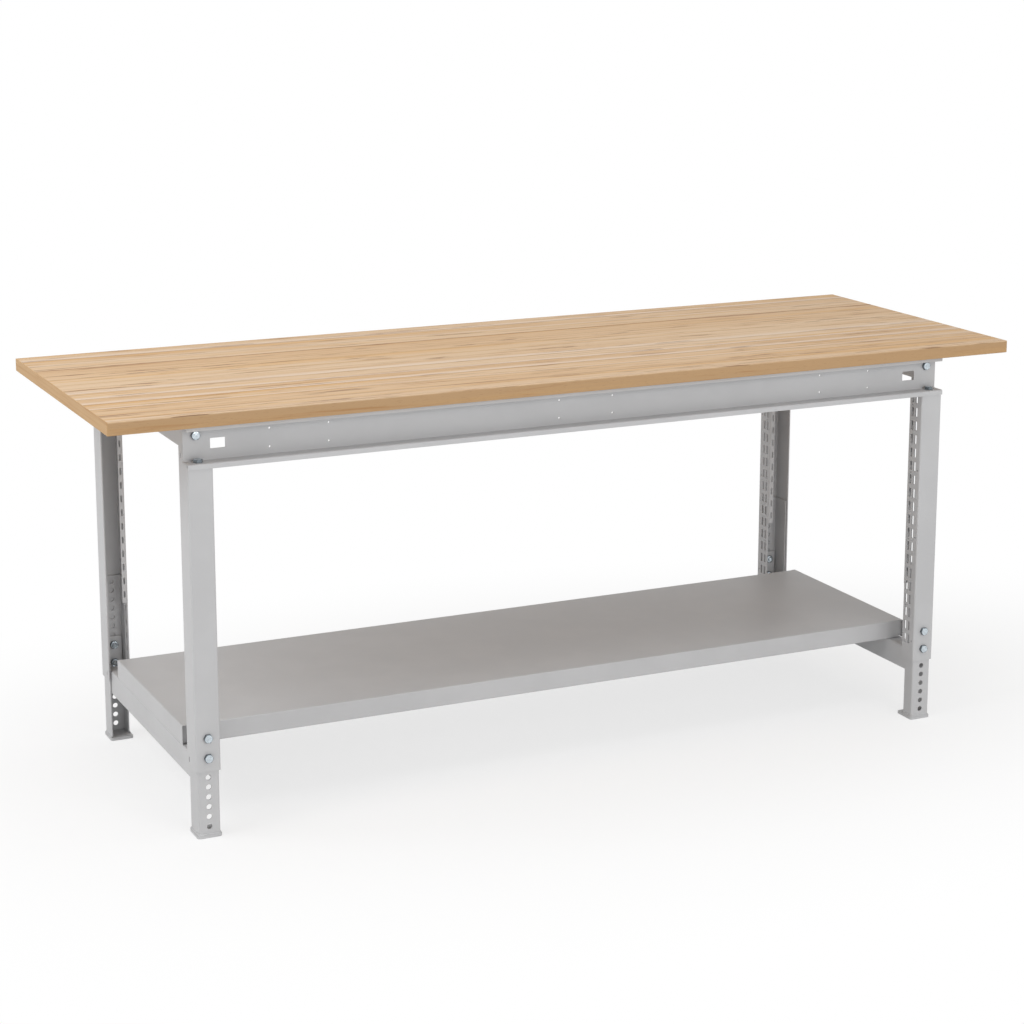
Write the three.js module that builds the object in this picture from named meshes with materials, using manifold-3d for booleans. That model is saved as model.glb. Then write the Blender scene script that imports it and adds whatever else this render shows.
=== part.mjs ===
// Assembly table: a laminated board on a bolted frame of folded sheet steel, with four telescoping feet.
// Millimetres, +Z up. The origin is on the floor under the middle of the board; the front looks along -Y.
import * as THREE from "three";
import { mergeGeometries, mergeVertices } from "three/addons/utils/BufferGeometryUtils.js";
import Module from "manifold-3d";

// Overall sizes
const TABLE_HEIGHT = 840; // floor to the working surface
const BOARD_LENGTH = 2000;
const BOARD_DEPTH = 700;
const BOARD_THICKNESS = 26;
const FRAME_LENGTH = 1690; // over the outer faces of the legs
const FRAME_DEPTH = 668; // over the front and rear faces of the legs
const SEAT_GAP = 0.2; // left between two pieces that bear on each other

// Legs: a folded channel, open towards the middle of the table
const LEG_WIDTH = 50;
const LEG_SHEET = 2.5;
const LEG_OUTER_FLANGE = 55;
const LEG_INNER_FLANGE = 47;
const LEG_LIP = 12; // return at the inner flange's free edge
const LEG_END = 135; // height of the leg's lower end above the floor
const LIP_END = 303; // the lip stops here, so that foot and beam pass
const LIP_TOP_MARGIN = 10; // from the upper beam down to the lip's upper end
const INSIDE_BEND = 1.5; // inner radius of a fold
const BEND_STEPS = 2;
const FOLD_JOIN = 0.5; // overlap of two pieces that become one solid

// Modelling allowances
const CUT_OVERSHOOT = 1; // how far a cutting tool reaches past the face that it cuts
const CUT_SHEETS = 3; // length of a hole's tool, in sheet thicknesses
const WELD_DISTANCE = 1e-4; // vertices closer than this become one
const ROUND_SIDES = 8;
const SMALL_SIDES = 6;
const HEX_SIDES = 6;
const CORNER_STEPS = 4;

// Perforation of the legs, for hanging brackets
const SLOT_PITCH = 30;
const SLOT_LENGTH = 20;
const SLOT_WIDTH = 5;
const SLOT_COLUMNS = [20, 34]; // from the leg's outer face
const SLOT_FIRST_DROP = 92; // from the top of the frame to the first slot's middle
const SLOT_COUNT = 19;
const LIP_SLOT_LENGTH = 15;
const LIP_SLOT_WIDTH = 4;
const LIP_SLOT_FIRST_DROP = 102;
const INDEX_HOLE = 4; // round holes between the slots, one every INDEX_STEP slots
const INDEX_STEP = 5;
const PILOT_EDGE = 9; // round holes beside the fold, from the leg's outer face
const PILOT_DROPS = [249, 399, 634];
const TAG_SLOT_LENGTH = 10; // one small slot near each end of the outer flange
const TAG_SLOT_WIDTH = 3.5;
const TAG_SLOT_EDGE = 42;
const TAG_SLOT_TOP_DROP = 62;
const TAG_SLOT_RISE = 15; // from the leg's lower end

// Feet: a smaller channel that slides in the leg, on a base plate
const SLIDE_CLEARANCE = 0.5;
const FOOT_SHEET = 2.5;
const FOOT_OUTER_FLANGE = 48;
const FOOT_INNER_FLANGE = 31;
const PLATE_THICKNESS = 6;
const PLATE_DEPTH = 55;
const PLATE_CORNER = 6;
const HOLE_PITCH = 20;
const HOLE_COUNT_BELOW = 7; // below the lower bolt
const HOLE_COUNT_ABOVE = 7; // above the upper bolt
const FOOT_TOP_EDGE = 12.5; // from the top hole's middle to the foot's upper end

// Fasteners
const BOLT_DIAMETER = 10;
const BOLT_CLEARANCE = 1; // added to the bolt for its holes
const NUT_CLEARANCE = 0.4; // added to the bolt for the nut's bore
const HEX_FLATS = 16;
const HEAD_HEIGHT = 6.4;
const HEAD_CHAMFER = 1.2;
const NUT_HEIGHT = 8;
const BOLT_PROUD = 3; // bolt end past its nut
const BOLT_STEP = 2; // hole pitches between the two bolts of a leg
const BOLT_RISE = 27.5; // lower bolt above the leg's lower end

// Aprons: folded rails along the front and the rear, open outwards
const APRON_SHEET = 2;
const APRON_SETBACK = 28; // rail web behind the legs' faces
const APRON_TOP_FLANGE = 26.5;
const APRON_TOP_LIP = 10;
const LEDGE_DROP = 72; // top of the frame to the ledge's upper face
const LEDGE_LIP = 10.5; // ledge's upper face to the lip's lower edge
const LIP_OVER_LEG = 0.3; // gap between the ledge's lip and the leg's face
const WEB_BOLT_DROP = 22.5;
const RAIL_HOLE = 4;
const RAIL_HOLE_PLACES = [60, 553, 673]; // from the middle, both ways
const RAIL_HOLE_DROPS = [22, 58];
const WINDOW_LENGTH = 30;
const WINDOW_HEIGHT = 20;
const WINDOW_FROM_LEG = 4; // inner face of the leg to the window
const WINDOW_DROP = 31;

// Cross-beams: folded channels, open downwards, with an end plate at each end
const BEAM_HEIGHT = 50;
const BEAM_SHEET = 2;
const BEAM_CLEARANCE = 0.5; // between the beam and the inside of the foot
const END_PLATE = 4;
const END_PLATE_INSET = 1.5; // end plate inside the beam's outline, on each side
const END_PLATE_RISE = 17.5; // above the upper bolt
const NUT_ROOM = 3; // round a nut, in the notch at the end of a lower beam

// Shelf: a tray turned upside down on the lower beams
const SHELF_HEIGHT = 197; // floor to the shelf's upper face
const SHELF_DEPTH = 458;
const SHELF_EDGE = 40;
const SHELF_SHEET = 1.5;
const SHELF_RETURN = 15;
const SHELF_CORNER_GAP = 11; // front and rear edges stop this far from the ends
const SHELF_OVERLAP = 40; // end strips reach this far under the middle sheet

// Wood screws that hold the board down on the aprons
const SCREW_DIAMETER = 5;
const SCREW_HEAD_DIAMETER = 11;
const SCREW_HEAD_HEIGHT = 3;
const SCREW_IN_BOARD = 18;
const SCREW_CLEARANCE = 1;
const SCREW_PLACES = [250, 700];

// Heights and places that follow from the sizes above
const frameTop = TABLE_HEIGHT - BOARD_THICKNESS - SEAT_GAP;
const ledgeTop = frameTop - LEDGE_DROP;
const tabTop = ledgeTop - APRON_SHEET - SEAT_GAP;
const legBoltHeights = [LEG_END + BOLT_RISE, LEG_END + BOLT_RISE + BOLT_STEP * HOLE_PITCH];
const webBack = APRON_SETBACK + APRON_SHEET;
const ledgeBoltIn = APRON_SETBACK / 2;
const screwIn = APRON_SETBACK / 2;
const legMiddle = LEG_WIDTH / 2;
const footIn = LEG_SHEET + SLIDE_CLEARANCE;
const footWidth = LEG_WIDTH - 2 * footIn;
const beamWidth = footWidth - 2 * (FOOT_SHEET + BEAM_CLEARANCE);
const beamPlace = FRAME_LENGTH / 2 - legMiddle;
const lowerPlateIn = footIn + FOOT_SHEET + BEAM_CLEARANCE;
const upperPlateIn = webBack + SEAT_GAP;
const lowerBeamTop = SHELF_HEIGHT - SHELF_EDGE - SEAT_GAP;
const holeDiameter = BOLT_DIAMETER + BOLT_CLEARANCE;
const screwHole = SCREW_DIAMETER + SCREW_CLEARANCE;
const hexRadius = HEX_FLATS / 2 / Math.cos(Math.PI / HEX_SIDES);

const wasm = await Module();
wasm.setup();

const steel = new THREE.MeshStandardMaterial({ color: 0xc2c2c0, roughness: 0.45, metalness: 0.1 });
const beech = new THREE.MeshStandardMaterial({ color: 0xd2b184, roughness: 0.5, metalness: 0 });
const zinc = new THREE.MeshStandardMaterial({ color: 0xc9d2d6, roughness: 0.25, metalness: 0.9 });

// Joining and cutting

function bare(geometry) {
  const loose = geometry.index ? geometry.toNonIndexed() : geometry;
  return new THREE.BufferGeometry().setAttribute("position", loose.getAttribute("position"));
}

function toSolid(geometry) {
  const merged = mergeVertices(bare(geometry), WELD_DISTANCE);
  return new wasm.Manifold(
    new wasm.Mesh({
      numProp: 3,
      vertProperties: merged.getAttribute("position").array,
      triVerts: new Uint32Array(merged.index.array),
    }),
  );
}

function toGeometry(solid) {
  const mesh = solid.getMesh();
  return new THREE.BufferGeometry()
    .setAttribute("position", new THREE.BufferAttribute(mesh.vertProperties, 3))
    .setIndex(new THREE.BufferAttribute(mesh.triVerts, 1));
}

// Cuts a list of tools that don't touch each other out of a solid, in one go.
function cut(solid, tools) {
  return solid.subtract(toSolid(mergeGeometries(tools.map(bare))));
}

// Basic shapes

// A box given by its lower and upper corners.
function block(low, high) {
  const size = high.map((value, axis) => value - low[axis]);
  const middle = high.map((value, axis) => (value + low[axis]) / 2);
  return new THREE.BoxGeometry(...size).translate(...middle);
}

// A round bar along an axis. A tool for a hole is drawn round its circle, so that the hole is clear.
function bar(axis, diameter, centre, length, sides, around = false) {
  const radius = diameter / 2 / (around ? Math.cos(Math.PI / sides) : 1);
  const made = new THREE.CylinderGeometry(radius, radius, length, sides);
  if (axis === "x") made.rotateZ(Math.PI / 2);
  if (axis === "z") made.rotateX(Math.PI / 2);
  return made.translate(...centre);
}

function holeTool(axis, diameter, centre, length, sides = ROUND_SIDES) {
  return bar(axis, diameter, centre, length, sides, true);
}

// The outline of a folded sheet: the corners of its middle line, rounded, set off to both sides.
function foldedSheet(corners, sheet) {
  const points = corners.map(([x, y]) => new THREE.Vector2(x, y));
  const half = sheet / 2;
  const radius = INSIDE_BEND + half;
  const left = [];
  const right = [];
  const direction = (from, to) => to.clone().sub(from).normalize();
  const normal = (along) => new THREE.Vector2(-along.y, along.x);
  points.forEach((here, i) => {
    const arriving = i > 0 ? direction(points[i - 1], here) : null;
    const leaving = i < points.length - 1 ? direction(here, points[i + 1]) : null;
    if (!arriving || !leaving) {
      const across = normal(arriving ?? leaving).multiplyScalar(half);
      left.push(here.clone().add(across));
      right.push(here.clone().sub(across));
      return;
    }
    const turn = Math.atan2(arriving.cross(leaving), arriving.dot(leaving));
    const side = Math.sign(turn);
    const start = here.clone().addScaledVector(arriving, -radius * Math.tan(Math.abs(turn) / 2));
    const centre = start.clone().addScaledVector(normal(arriving), side * radius);
    for (let step = 0; step <= BEND_STEPS; step += 1) {
      const spoke = direction(centre, start).rotateAround(new THREE.Vector2(), (turn * step) / BEND_STEPS);
      left.push(centre.clone().addScaledVector(spoke, radius - side * half));
      right.push(centre.clone().addScaledVector(spoke, radius + side * half));
    }
  });
  return new THREE.Shape([...left, ...right.reverse()]);
}

function extrude(shape, depth) {
  return new THREE.ExtrudeGeometry(shape, { depth, bevelEnabled: false });
}

// Turns an extrusion so that its outline's two axes and its depth lie along the given directions.
function lay(geometry, across, up, along) {
  const basis = new THREE.Matrix4().makeBasis(
    new THREE.Vector3(...across),
    new THREE.Vector3(...up),
    new THREE.Vector3(...along),
  );
  return geometry.applyMatrix4(basis);
}

// Legs, in the frame of a corner: the origin is the outer corner on the floor, +X and +Y lead inwards

function legSlots() {
  const tools = [];
  const through = CUT_SHEETS * LEG_SHEET;
  const flange = LEG_WIDTH - LEG_SHEET / 2;
  for (let i = 0; i < SLOT_COUNT; i += 1) {
    const z = frameTop - SLOT_FIRST_DROP - i * SLOT_PITCH;
    SLOT_COLUMNS.forEach((y) =>
      tools.push(new THREE.BoxGeometry(through, SLOT_WIDTH, SLOT_LENGTH).translate(flange, y, z)),
    );
    const between = [flange, SLOT_COLUMNS[1], z - SLOT_PITCH / 2];
    if (i % INDEX_STEP === 0) tools.push(holeTool("x", INDEX_HOLE, between, through, SMALL_SIDES));
  }
  const lipMiddle = LEG_INNER_FLANGE - LEG_SHEET / 2;
  const lipSlot = LEG_WIDTH - (LEG_SHEET + LEG_LIP) / 2;
  const lowest = LIP_END + LIP_SLOT_LENGTH;
  for (let z = frameTop - LIP_SLOT_FIRST_DROP; z > lowest; z -= SLOT_PITCH) {
    const slot = new THREE.BoxGeometry(LIP_SLOT_WIDTH, through, LIP_SLOT_LENGTH);
    tools.push(slot.translate(lipSlot, lipMiddle, z));
  }
  PILOT_DROPS.forEach((drop) =>
    tools.push(holeTool("x", INDEX_HOLE, [flange, PILOT_EDGE, frameTop - drop], through, SMALL_SIDES)),
  );
  [frameTop - TAG_SLOT_TOP_DROP, LEG_END + TAG_SLOT_RISE].forEach((z) => {
    const slot = new THREE.BoxGeometry(through, TAG_SLOT_WIDTH, TAG_SLOT_LENGTH);
    tools.push(slot.translate(LEG_SHEET / 2, TAG_SLOT_EDGE, z));
  });
  return tools;
}

function legGeometry() {
  const half = LEG_SHEET / 2;
  const profile = foldedSheet(
    [
      [half, LEG_OUTER_FLANGE],
      [half, half],
      [LEG_WIDTH - half, half],
      [LEG_WIDTH - half, LEG_INNER_FLANGE - half],
      [LEG_WIDTH - LEG_LIP, LEG_INNER_FLANGE - half],
    ],
    LEG_SHEET,
  );
  const channel = toSolid(extrude(profile, frameTop - LEG_END).translate(0, 0, LEG_END));
  // The web and the front of both flanges stop under the apron's ledge.
  const before = -CUT_OVERSHOOT;
  const beyond = LEG_WIDTH + CUT_OVERSHOOT;
  const above = frameTop + CUT_OVERSHOOT;
  const rail = block([before, before, tabTop], [beyond, webBack + SEAT_GAP, above]);
  const fold = LEG_SHEET + INSIDE_BEND;
  const relief = block([before, before, tabTop - fold], [beyond, fold, above]);
  // The lip stops short of the beams at both ends.
  const lipFold = LEG_INNER_FLANGE - fold;
  const lipTop = frameTop - BEAM_HEIGHT - LIP_TOP_MARGIN;
  const lipCut = (from, to) =>
    block([legMiddle, lipFold, from], [beyond, LEG_INNER_FLANGE + CUT_OVERSHOOT, to]);
  const notched = cut(cut(channel, [rail]), [relief]);
  const trimmed = cut(notched, [lipCut(LEG_END - CUT_OVERSHOOT, LIP_END), lipCut(lipTop, above)]);
  // The web's upper end is folded inwards as a tab for the ledge bolt.
  const tabProfile = foldedSheet(
    [
      [half, tabTop - fold - FOLD_JOIN],
      [half, tabTop - half],
      [APRON_SETBACK - SEAT_GAP, tabTop - half],
    ],
    LEG_SHEET,
  );
  const tab = lay(extrude(tabProfile, LEG_WIDTH - 2 * fold), [0, 1, 0], [0, 0, 1], [1, 0, 0]);
  const shaped = trimmed.add(toSolid(tab.translate(fold, 0, 0)));
  const through = CUT_SHEETS * LEG_SHEET;
  const boltHoles = legBoltHeights.map((z) => holeTool("y", holeDiameter, [legMiddle, half, z], through));
  boltHoles.push(holeTool("z", holeDiameter, [legMiddle, ledgeBoltIn, tabTop - half], through));
  return toGeometry(cut(cut(shaped, boltHoles), legSlots()));
}

// Feet, in the same corner frame

function footGeometry() {
  const half = FOOT_SHEET / 2;
  const near = footIn + half;
  const far = footIn + footWidth - half;
  const profile = foldedSheet(
    [
      [near, footIn + FOOT_OUTER_FLANGE],
      [near, near],
      [far, near],
      [far, footIn + FOOT_INNER_FLANGE],
    ],
    FOOT_SHEET,
  );
  const bottom = PLATE_THICKNESS + SEAT_GAP;
  const top = legBoltHeights[1] + HOLE_COUNT_ABOVE * HOLE_PITCH + FOOT_TOP_EDGE;
  const channel = toSolid(extrude(profile, top - bottom).translate(0, 0, bottom));
  const holes = [];
  for (let i = -HOLE_COUNT_BELOW; i <= BOLT_STEP + HOLE_COUNT_ABOVE; i += 1) {
    const z = legBoltHeights[0] + i * HOLE_PITCH;
    holes.push(holeTool("y", holeDiameter, [legMiddle, near, z], CUT_SHEETS * FOOT_SHEET));
  }
  return toGeometry(cut(channel, holes));
}

function basePlateGeometry() {
  const outline = new THREE.Shape();
  const corners = [
    [PLATE_CORNER, PLATE_CORNER, Math.PI],
    [LEG_WIDTH - PLATE_CORNER, PLATE_CORNER, 1.5 * Math.PI],
    [LEG_WIDTH - PLATE_CORNER, PLATE_DEPTH - PLATE_CORNER, 0],
    [PLATE_CORNER, PLATE_DEPTH - PLATE_CORNER, Math.PI / 2],
  ];
  corners.forEach(([x, y, from]) => outline.absarc(x, y, PLATE_CORNER, from, from + Math.PI / 2, false));
  outline.closePath();
  const settings = { depth: PLATE_THICKNESS, bevelEnabled: false, curveSegments: CORNER_STEPS };
  return new THREE.ExtrudeGeometry(outline, settings);
}

// Fasteners: the head's underside is at the origin and the shank leads down

function boltGeometry(grip) {
  const length = grip + SEAT_GAP + NUT_HEIGHT + BOLT_PROUD;
  const hexHeight = HEAD_HEIGHT - HEAD_CHAMFER;
  const crownRadius = hexRadius - HEAD_CHAMFER;
  const hex = new THREE.CylinderGeometry(hexRadius, hexRadius, hexHeight, HEX_SIDES);
  const crown = new THREE.CylinderGeometry(crownRadius, hexRadius, HEAD_CHAMFER, HEX_SIDES);
  const head = toSolid(hex.rotateX(Math.PI / 2).translate(0, 0, hexHeight / 2)).add(
    toSolid(crown.rotateX(Math.PI / 2).translate(0, 0, hexHeight + HEAD_CHAMFER / 2)),
  );
  // The shank starts inside the head, so that the two become one solid.
  const middle = [0, 0, (HEAD_CHAMFER - length) / 2];
  const shank = bar("z", BOLT_DIAMETER, middle, length + HEAD_CHAMFER, ROUND_SIDES);
  return toGeometry(head.add(toSolid(shank)));
}

function nutGeometry() {
  const outline = new THREE.Shape();
  for (let i = 0; i < HEX_SIDES; i += 1) {
    const angle = (2 * Math.PI * i) / HEX_SIDES;
    const point = [hexRadius * Math.cos(angle), hexRadius * Math.sin(angle)];
    if (i === 0) outline.moveTo(...point);
    else outline.lineTo(...point);
  }
  outline.closePath();
  const blank = toSolid(extrude(outline, NUT_HEIGHT).translate(0, 0, -NUT_HEIGHT));
  const bore = holeTool("z", BOLT_DIAMETER + NUT_CLEARANCE, [0, 0, -NUT_HEIGHT / 2], 2 * NUT_HEIGHT);
  return toGeometry(cut(blank, [bore]));
}

function screwGeometry() {
  const shankLength = SCREW_HEAD_HEIGHT + SEAT_GAP + APRON_SHEET + SEAT_GAP + SCREW_IN_BOARD;
  const head = new THREE.CylinderGeometry(
    SCREW_HEAD_DIAMETER / 2,
    SCREW_HEAD_DIAMETER / 2 - HEAD_CHAMFER,
    SCREW_HEAD_HEIGHT,
    ROUND_SIDES,
  ).rotateX(Math.PI / 2);
  const seated = toSolid(head.translate(0, 0, -SCREW_HEAD_HEIGHT / 2));
  const middle = [0, 0, shankLength / 2 - SCREW_HEAD_HEIGHT];
  const shank = bar("z", SCREW_DIAMETER, middle, shankLength, SMALL_SIDES);
  return toGeometry(seated.add(toSolid(shank)));
}

// Aprons: drawn for the front, with Y counted inwards from the legs' front faces

function apronGeometry() {
  const half = APRON_SHEET / 2;
  const topLip = APRON_SETBACK - APRON_TOP_FLANGE + half;
  const web = APRON_SETBACK + half;
  const lip = -LIP_OVER_LEG - half;
  const ledge = ledgeTop - half;
  const profile = foldedSheet(
    [
      [topLip, frameTop - APRON_TOP_LIP],
      [topLip, frameTop - half],
      [web, frameTop - half],
      [web, ledge],
      [lip, ledge],
      [lip, ledgeTop - LEDGE_LIP],
    ],
    APRON_SHEET,
  );
  const rail = lay(extrude(profile, FRAME_LENGTH), [0, 1, 0], [0, 0, 1], [1, 0, 0]);
  const tools = [];
  const through = CUT_SHEETS * APRON_SHEET;
  const windowMiddle = FRAME_LENGTH / 2 - LEG_WIDTH - WINDOW_FROM_LEG - WINDOW_LENGTH / 2;
  [-1, 1].forEach((way) => {
    RAIL_HOLE_PLACES.forEach((place) =>
      RAIL_HOLE_DROPS.forEach((drop) =>
        tools.push(holeTool("y", RAIL_HOLE, [way * place, web, frameTop - drop], through, SMALL_SIDES)),
      ),
    );
    const window = new THREE.BoxGeometry(WINDOW_LENGTH, through, WINDOW_HEIGHT);
    tools.push(window.translate(way * windowMiddle, web, frameTop - WINDOW_DROP - WINDOW_HEIGHT / 2));
    tools.push(holeTool("y", holeDiameter, [way * beamPlace, web, frameTop - WEB_BOLT_DROP], through));
    tools.push(holeTool("z", holeDiameter, [way * beamPlace, ledgeBoltIn, ledge], through));
    SCREW_PLACES.forEach((place) =>
      tools.push(holeTool("z", screwHole, [way * place, screwIn, frameTop - half], through, SMALL_SIDES)),
    );
  });
  return toGeometry(cut(toSolid(rail.translate(-FRAME_LENGTH / 2, 0, 0)), tools));
}

// Cross-beams, drawn along Y about the middle, with their upper face at height 0

function beamGeometry(plateIn, plateHigh, boltHeights, notchDepth) {
  const half = BEAM_SHEET / 2;
  const side = beamWidth / 2 - half;
  const profile = foldedSheet(
    [
      [-side, -BEAM_HEIGHT],
      [-side, -half],
      [side, -half],
      [side, -BEAM_HEIGHT],
    ],
    BEAM_SHEET,
  );
  const plateFace = FRAME_DEPTH / 2 - plateIn;
  const length = 2 * (plateFace - END_PLATE + FOLD_JOIN);
  const channel = lay(extrude(profile, length), [1, 0, 0], [0, 0, 1], [0, -1, 0]);
  const plateSide = beamWidth / 2 - END_PLATE_INSET;
  const plateBack = plateFace - END_PLATE;
  const plateLow = END_PLATE_INSET - BEAM_HEIGHT;
  let beam = toSolid(channel.translate(0, length / 2, 0));
  // A notch in the upper face leaves room for the nut and a spanner.
  if (notchDepth) {
    const wide = hexRadius + NUT_ROOM;
    const reach = plateBack - NUT_HEIGHT - BOLT_PROUD - NUT_ROOM;
    const notch = (from, to) => block([-wide, from, -notchDepth], [wide, to, CUT_OVERSHOOT]);
    beam = cut(beam, [notch(-plateFace, -reach), notch(reach, plateFace)]);
  }
  const plate = (from, to) => toSolid(block([-plateSide, from, plateLow], [plateSide, to, plateHigh]));
  beam = beam.add(plate(-plateFace, -plateBack)).add(plate(plateBack, plateFace));
  const plateMiddle = (plateBack + plateFace) / 2;
  const through = CUT_SHEETS * END_PLATE;
  const holes = boltHeights.flatMap((z) =>
    [-1, 1].map((way) => holeTool("y", holeDiameter, [0, way * plateMiddle, z], through)),
  );
  return toGeometry(cut(beam, holes));
}

// Shelf, drawn about its middle with its upper face at height 0

function shelfGeometry() {
  const half = SHELF_SHEET / 2;
  const endFace = beamPlace + beamWidth / 2;
  const frontFace = SHELF_DEPTH / 2;
  const foot = half - SHELF_EDGE;
  const middleLength = 2 * (endFace - SHELF_CORNER_GAP);
  const middle = foldedSheet(
    [
      [SHELF_RETURN - frontFace, foot],
      [half - frontFace, foot],
      [half - frontFace, -half],
      [frontFace - half, -half],
      [frontFace - half, foot],
      [frontFace - SHELF_RETURN, foot],
    ],
    SHELF_SHEET,
  );
  const tray = lay(extrude(middle, middleLength), [0, 1, 0], [0, 0, 1], [1, 0, 0]);
  let shelf = toSolid(tray.translate(-middleLength / 2, 0, 0));
  [-1, 1].forEach((way) => {
    const skirt = foldedSheet(
      [
        [way * (endFace - SHELF_OVERLAP), -half],
        [way * (endFace - half), -half],
        [way * (endFace - half), -SHELF_EDGE],
      ],
      SHELF_SHEET,
    );
    const strip = lay(extrude(skirt, SHELF_DEPTH), [1, 0, 0], [0, 0, 1], [0, -1, 0]);
    shelf = shelf.add(toSolid(strip.translate(0, SHELF_DEPTH / 2, 0)));
    // The return under the end strip stops clear of the front and rear edges.
    const inside = frontFace - SHELF_RETURN - SHELF_CORNER_GAP;
    const across = [way * (endFace - SHELF_RETURN), way * (endFace - half)].sort((a, b) => a - b);
    const seat = block([across[0], -inside, -SHELF_EDGE], [across[1], inside, SHELF_SHEET - SHELF_EDGE]);
    shelf = shelf.add(toSolid(seat));
  });
  return toGeometry(shelf);
}

// Board

function boardGeometry() {
  const low = TABLE_HEIGHT - BOARD_THICKNESS;
  const blank = new THREE.BoxGeometry(BOARD_LENGTH, BOARD_DEPTH, BOARD_THICKNESS);
  const board = toSolid(blank.translate(0, 0, low + BOARD_THICKNESS / 2));
  const deep = SCREW_IN_BOARD + SCREW_CLEARANCE;
  const tools = [];
  [-1, 1].forEach((side) =>
    [-1, 1].forEach((way) =>
      SCREW_PLACES.forEach((place) => {
        const y = side * (FRAME_DEPTH / 2 - screwIn);
        tools.push(holeTool("z", screwHole, [way * place, y, low], 2 * deep, SMALL_SIDES));
      }),
    ),
  );
  return toGeometry(cut(board, tools));
}

// The assembly

const table = new THREE.Group();

function piece(name, geometry, material, parent, place = [0, 0, 0]) {
  geometry.computeVertexNormals();
  const mesh = new THREE.Mesh(geometry, material);
  mesh.name = name;
  mesh.position.set(...place);
  parent.add(mesh);
  return mesh;
}

piece("worktop_board", boardGeometry(), beech, table);

const leg = legGeometry();
const foot = footGeometry();
const basePlate = basePlateGeometry();
const nut = nutGeometry();
const levelNut = nut.clone().rotateX(Math.PI / 2);
const legGrip = lowerPlateIn + END_PLATE;
const webGrip = APRON_SHEET + SEAT_GAP + END_PLATE;
const ledgeGrip = APRON_SHEET + SEAT_GAP + LEG_SHEET;
const legBolt = boltGeometry(legGrip + SEAT_GAP).rotateX(Math.PI / 2);
const webBolt = boltGeometry(webGrip + SEAT_GAP).rotateX(Math.PI / 2);
const ledgeBolt = boltGeometry(ledgeGrip + SEAT_GAP);

// Each corner is the front left one, mirrored: its own +X and +Y lead inwards.
[
  ["front", -1],
  ["rear", 1],
].forEach(([end, toRear]) =>
  [
    ["left", -1],
    ["right", 1],
  ].forEach(([side, toRight]) => {
    const corner = new THREE.Group();
    corner.position.set((toRight * FRAME_LENGTH) / 2, (toRear * FRAME_DEPTH) / 2, 0);
    corner.scale.set(-toRight, -toRear, 1);
    table.add(corner);
    const here = `${end}_${side}`;
    piece(`leg_${here}`, leg, steel, corner);
    piece(`foot_${here}`, foot, steel, corner);
    piece(`base_plate_${here}`, basePlate, steel, corner);
    ["lower", "upper"].forEach((level, i) => {
      const z = legBoltHeights[i];
      piece(`leg_bolt_${level}_${here}`, legBolt, zinc, corner, [legMiddle, -SEAT_GAP, z]);
      piece(`leg_nut_${level}_${here}`, levelNut, zinc, corner, [legMiddle, legGrip + SEAT_GAP, z]);
    });
    const webBoltPlace = [legMiddle, APRON_SETBACK - SEAT_GAP, frameTop - WEB_BOLT_DROP];
    piece(`apron_bolt_${here}`, webBolt, zinc, corner, webBoltPlace);
    const webNutIn = APRON_SETBACK + webGrip + SEAT_GAP;
    piece(`apron_nut_${here}`, levelNut, zinc, corner, [legMiddle, webNutIn, frameTop - WEB_BOLT_DROP]);
    piece(`ledge_bolt_${here}`, ledgeBolt, zinc, corner, [legMiddle, ledgeBoltIn, ledgeTop + SEAT_GAP]);
    const ledgeNutTop = tabTop - LEG_SHEET - SEAT_GAP;
    piece(`ledge_nut_${here}`, nut, zinc, corner, [legMiddle, ledgeBoltIn, ledgeNutTop]);
  }),
);

const apron = apronGeometry();
const screw = screwGeometry();
[
  ["front", -1],
  ["rear", 1],
].forEach(([end, toRear]) => {
  const rail = new THREE.Group();
  rail.position.set(0, (toRear * FRAME_DEPTH) / 2, 0);
  rail.scale.set(1, -toRear, 1);
  table.add(rail);
  piece(`apron_${end}`, apron, steel, rail);
  [-1, 1].forEach((way) =>
    SCREW_PLACES.forEach((place, i) => {
      const name = `board_screw_${end}_${way < 0 ? "left" : "right"}_${i + 1}`;
      piece(name, screw, zinc, rail, [way * place, screwIn, frameTop - APRON_SHEET - SEAT_GAP]);
    }),
  );
});

const upperBeam = beamGeometry(upperPlateIn, -END_PLATE_INSET, [-WEB_BOLT_DROP], 0);
const lowerBeam = beamGeometry(
  lowerPlateIn,
  legBoltHeights[1] + END_PLATE_RISE - lowerBeamTop,
  legBoltHeights.map((z) => z - lowerBeamTop),
  BEAM_HEIGHT / 2,
);
[
  ["left", -1],
  ["right", 1],
].forEach(([side, toRight]) => {
  piece(`upper_beam_${side}`, upperBeam, steel, table, [toRight * beamPlace, 0, frameTop]);
  piece(`lower_beam_${side}`, lowerBeam, steel, table, [toRight * beamPlace, 0, lowerBeamTop]);
});

piece("shelf", shelfGeometry(), steel, table, [0, 0, SHELF_HEIGHT]);

export default table;
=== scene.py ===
# %% [markdown]
# # An assembly table, dressed for its picture
# The table is a glued beech board on a bolted frame of folded sheet steel. Its packed model gives
# every piece its place and size. This lesson makes a finer mesh for each of those pieces, with round
# folds, round holes and eased edges, gives each one its finish, and lights the table in a plain white
# room.

# %% Load the packed table
import math

import bmesh
import bpy
from mathutils import Matrix, Vector


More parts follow.
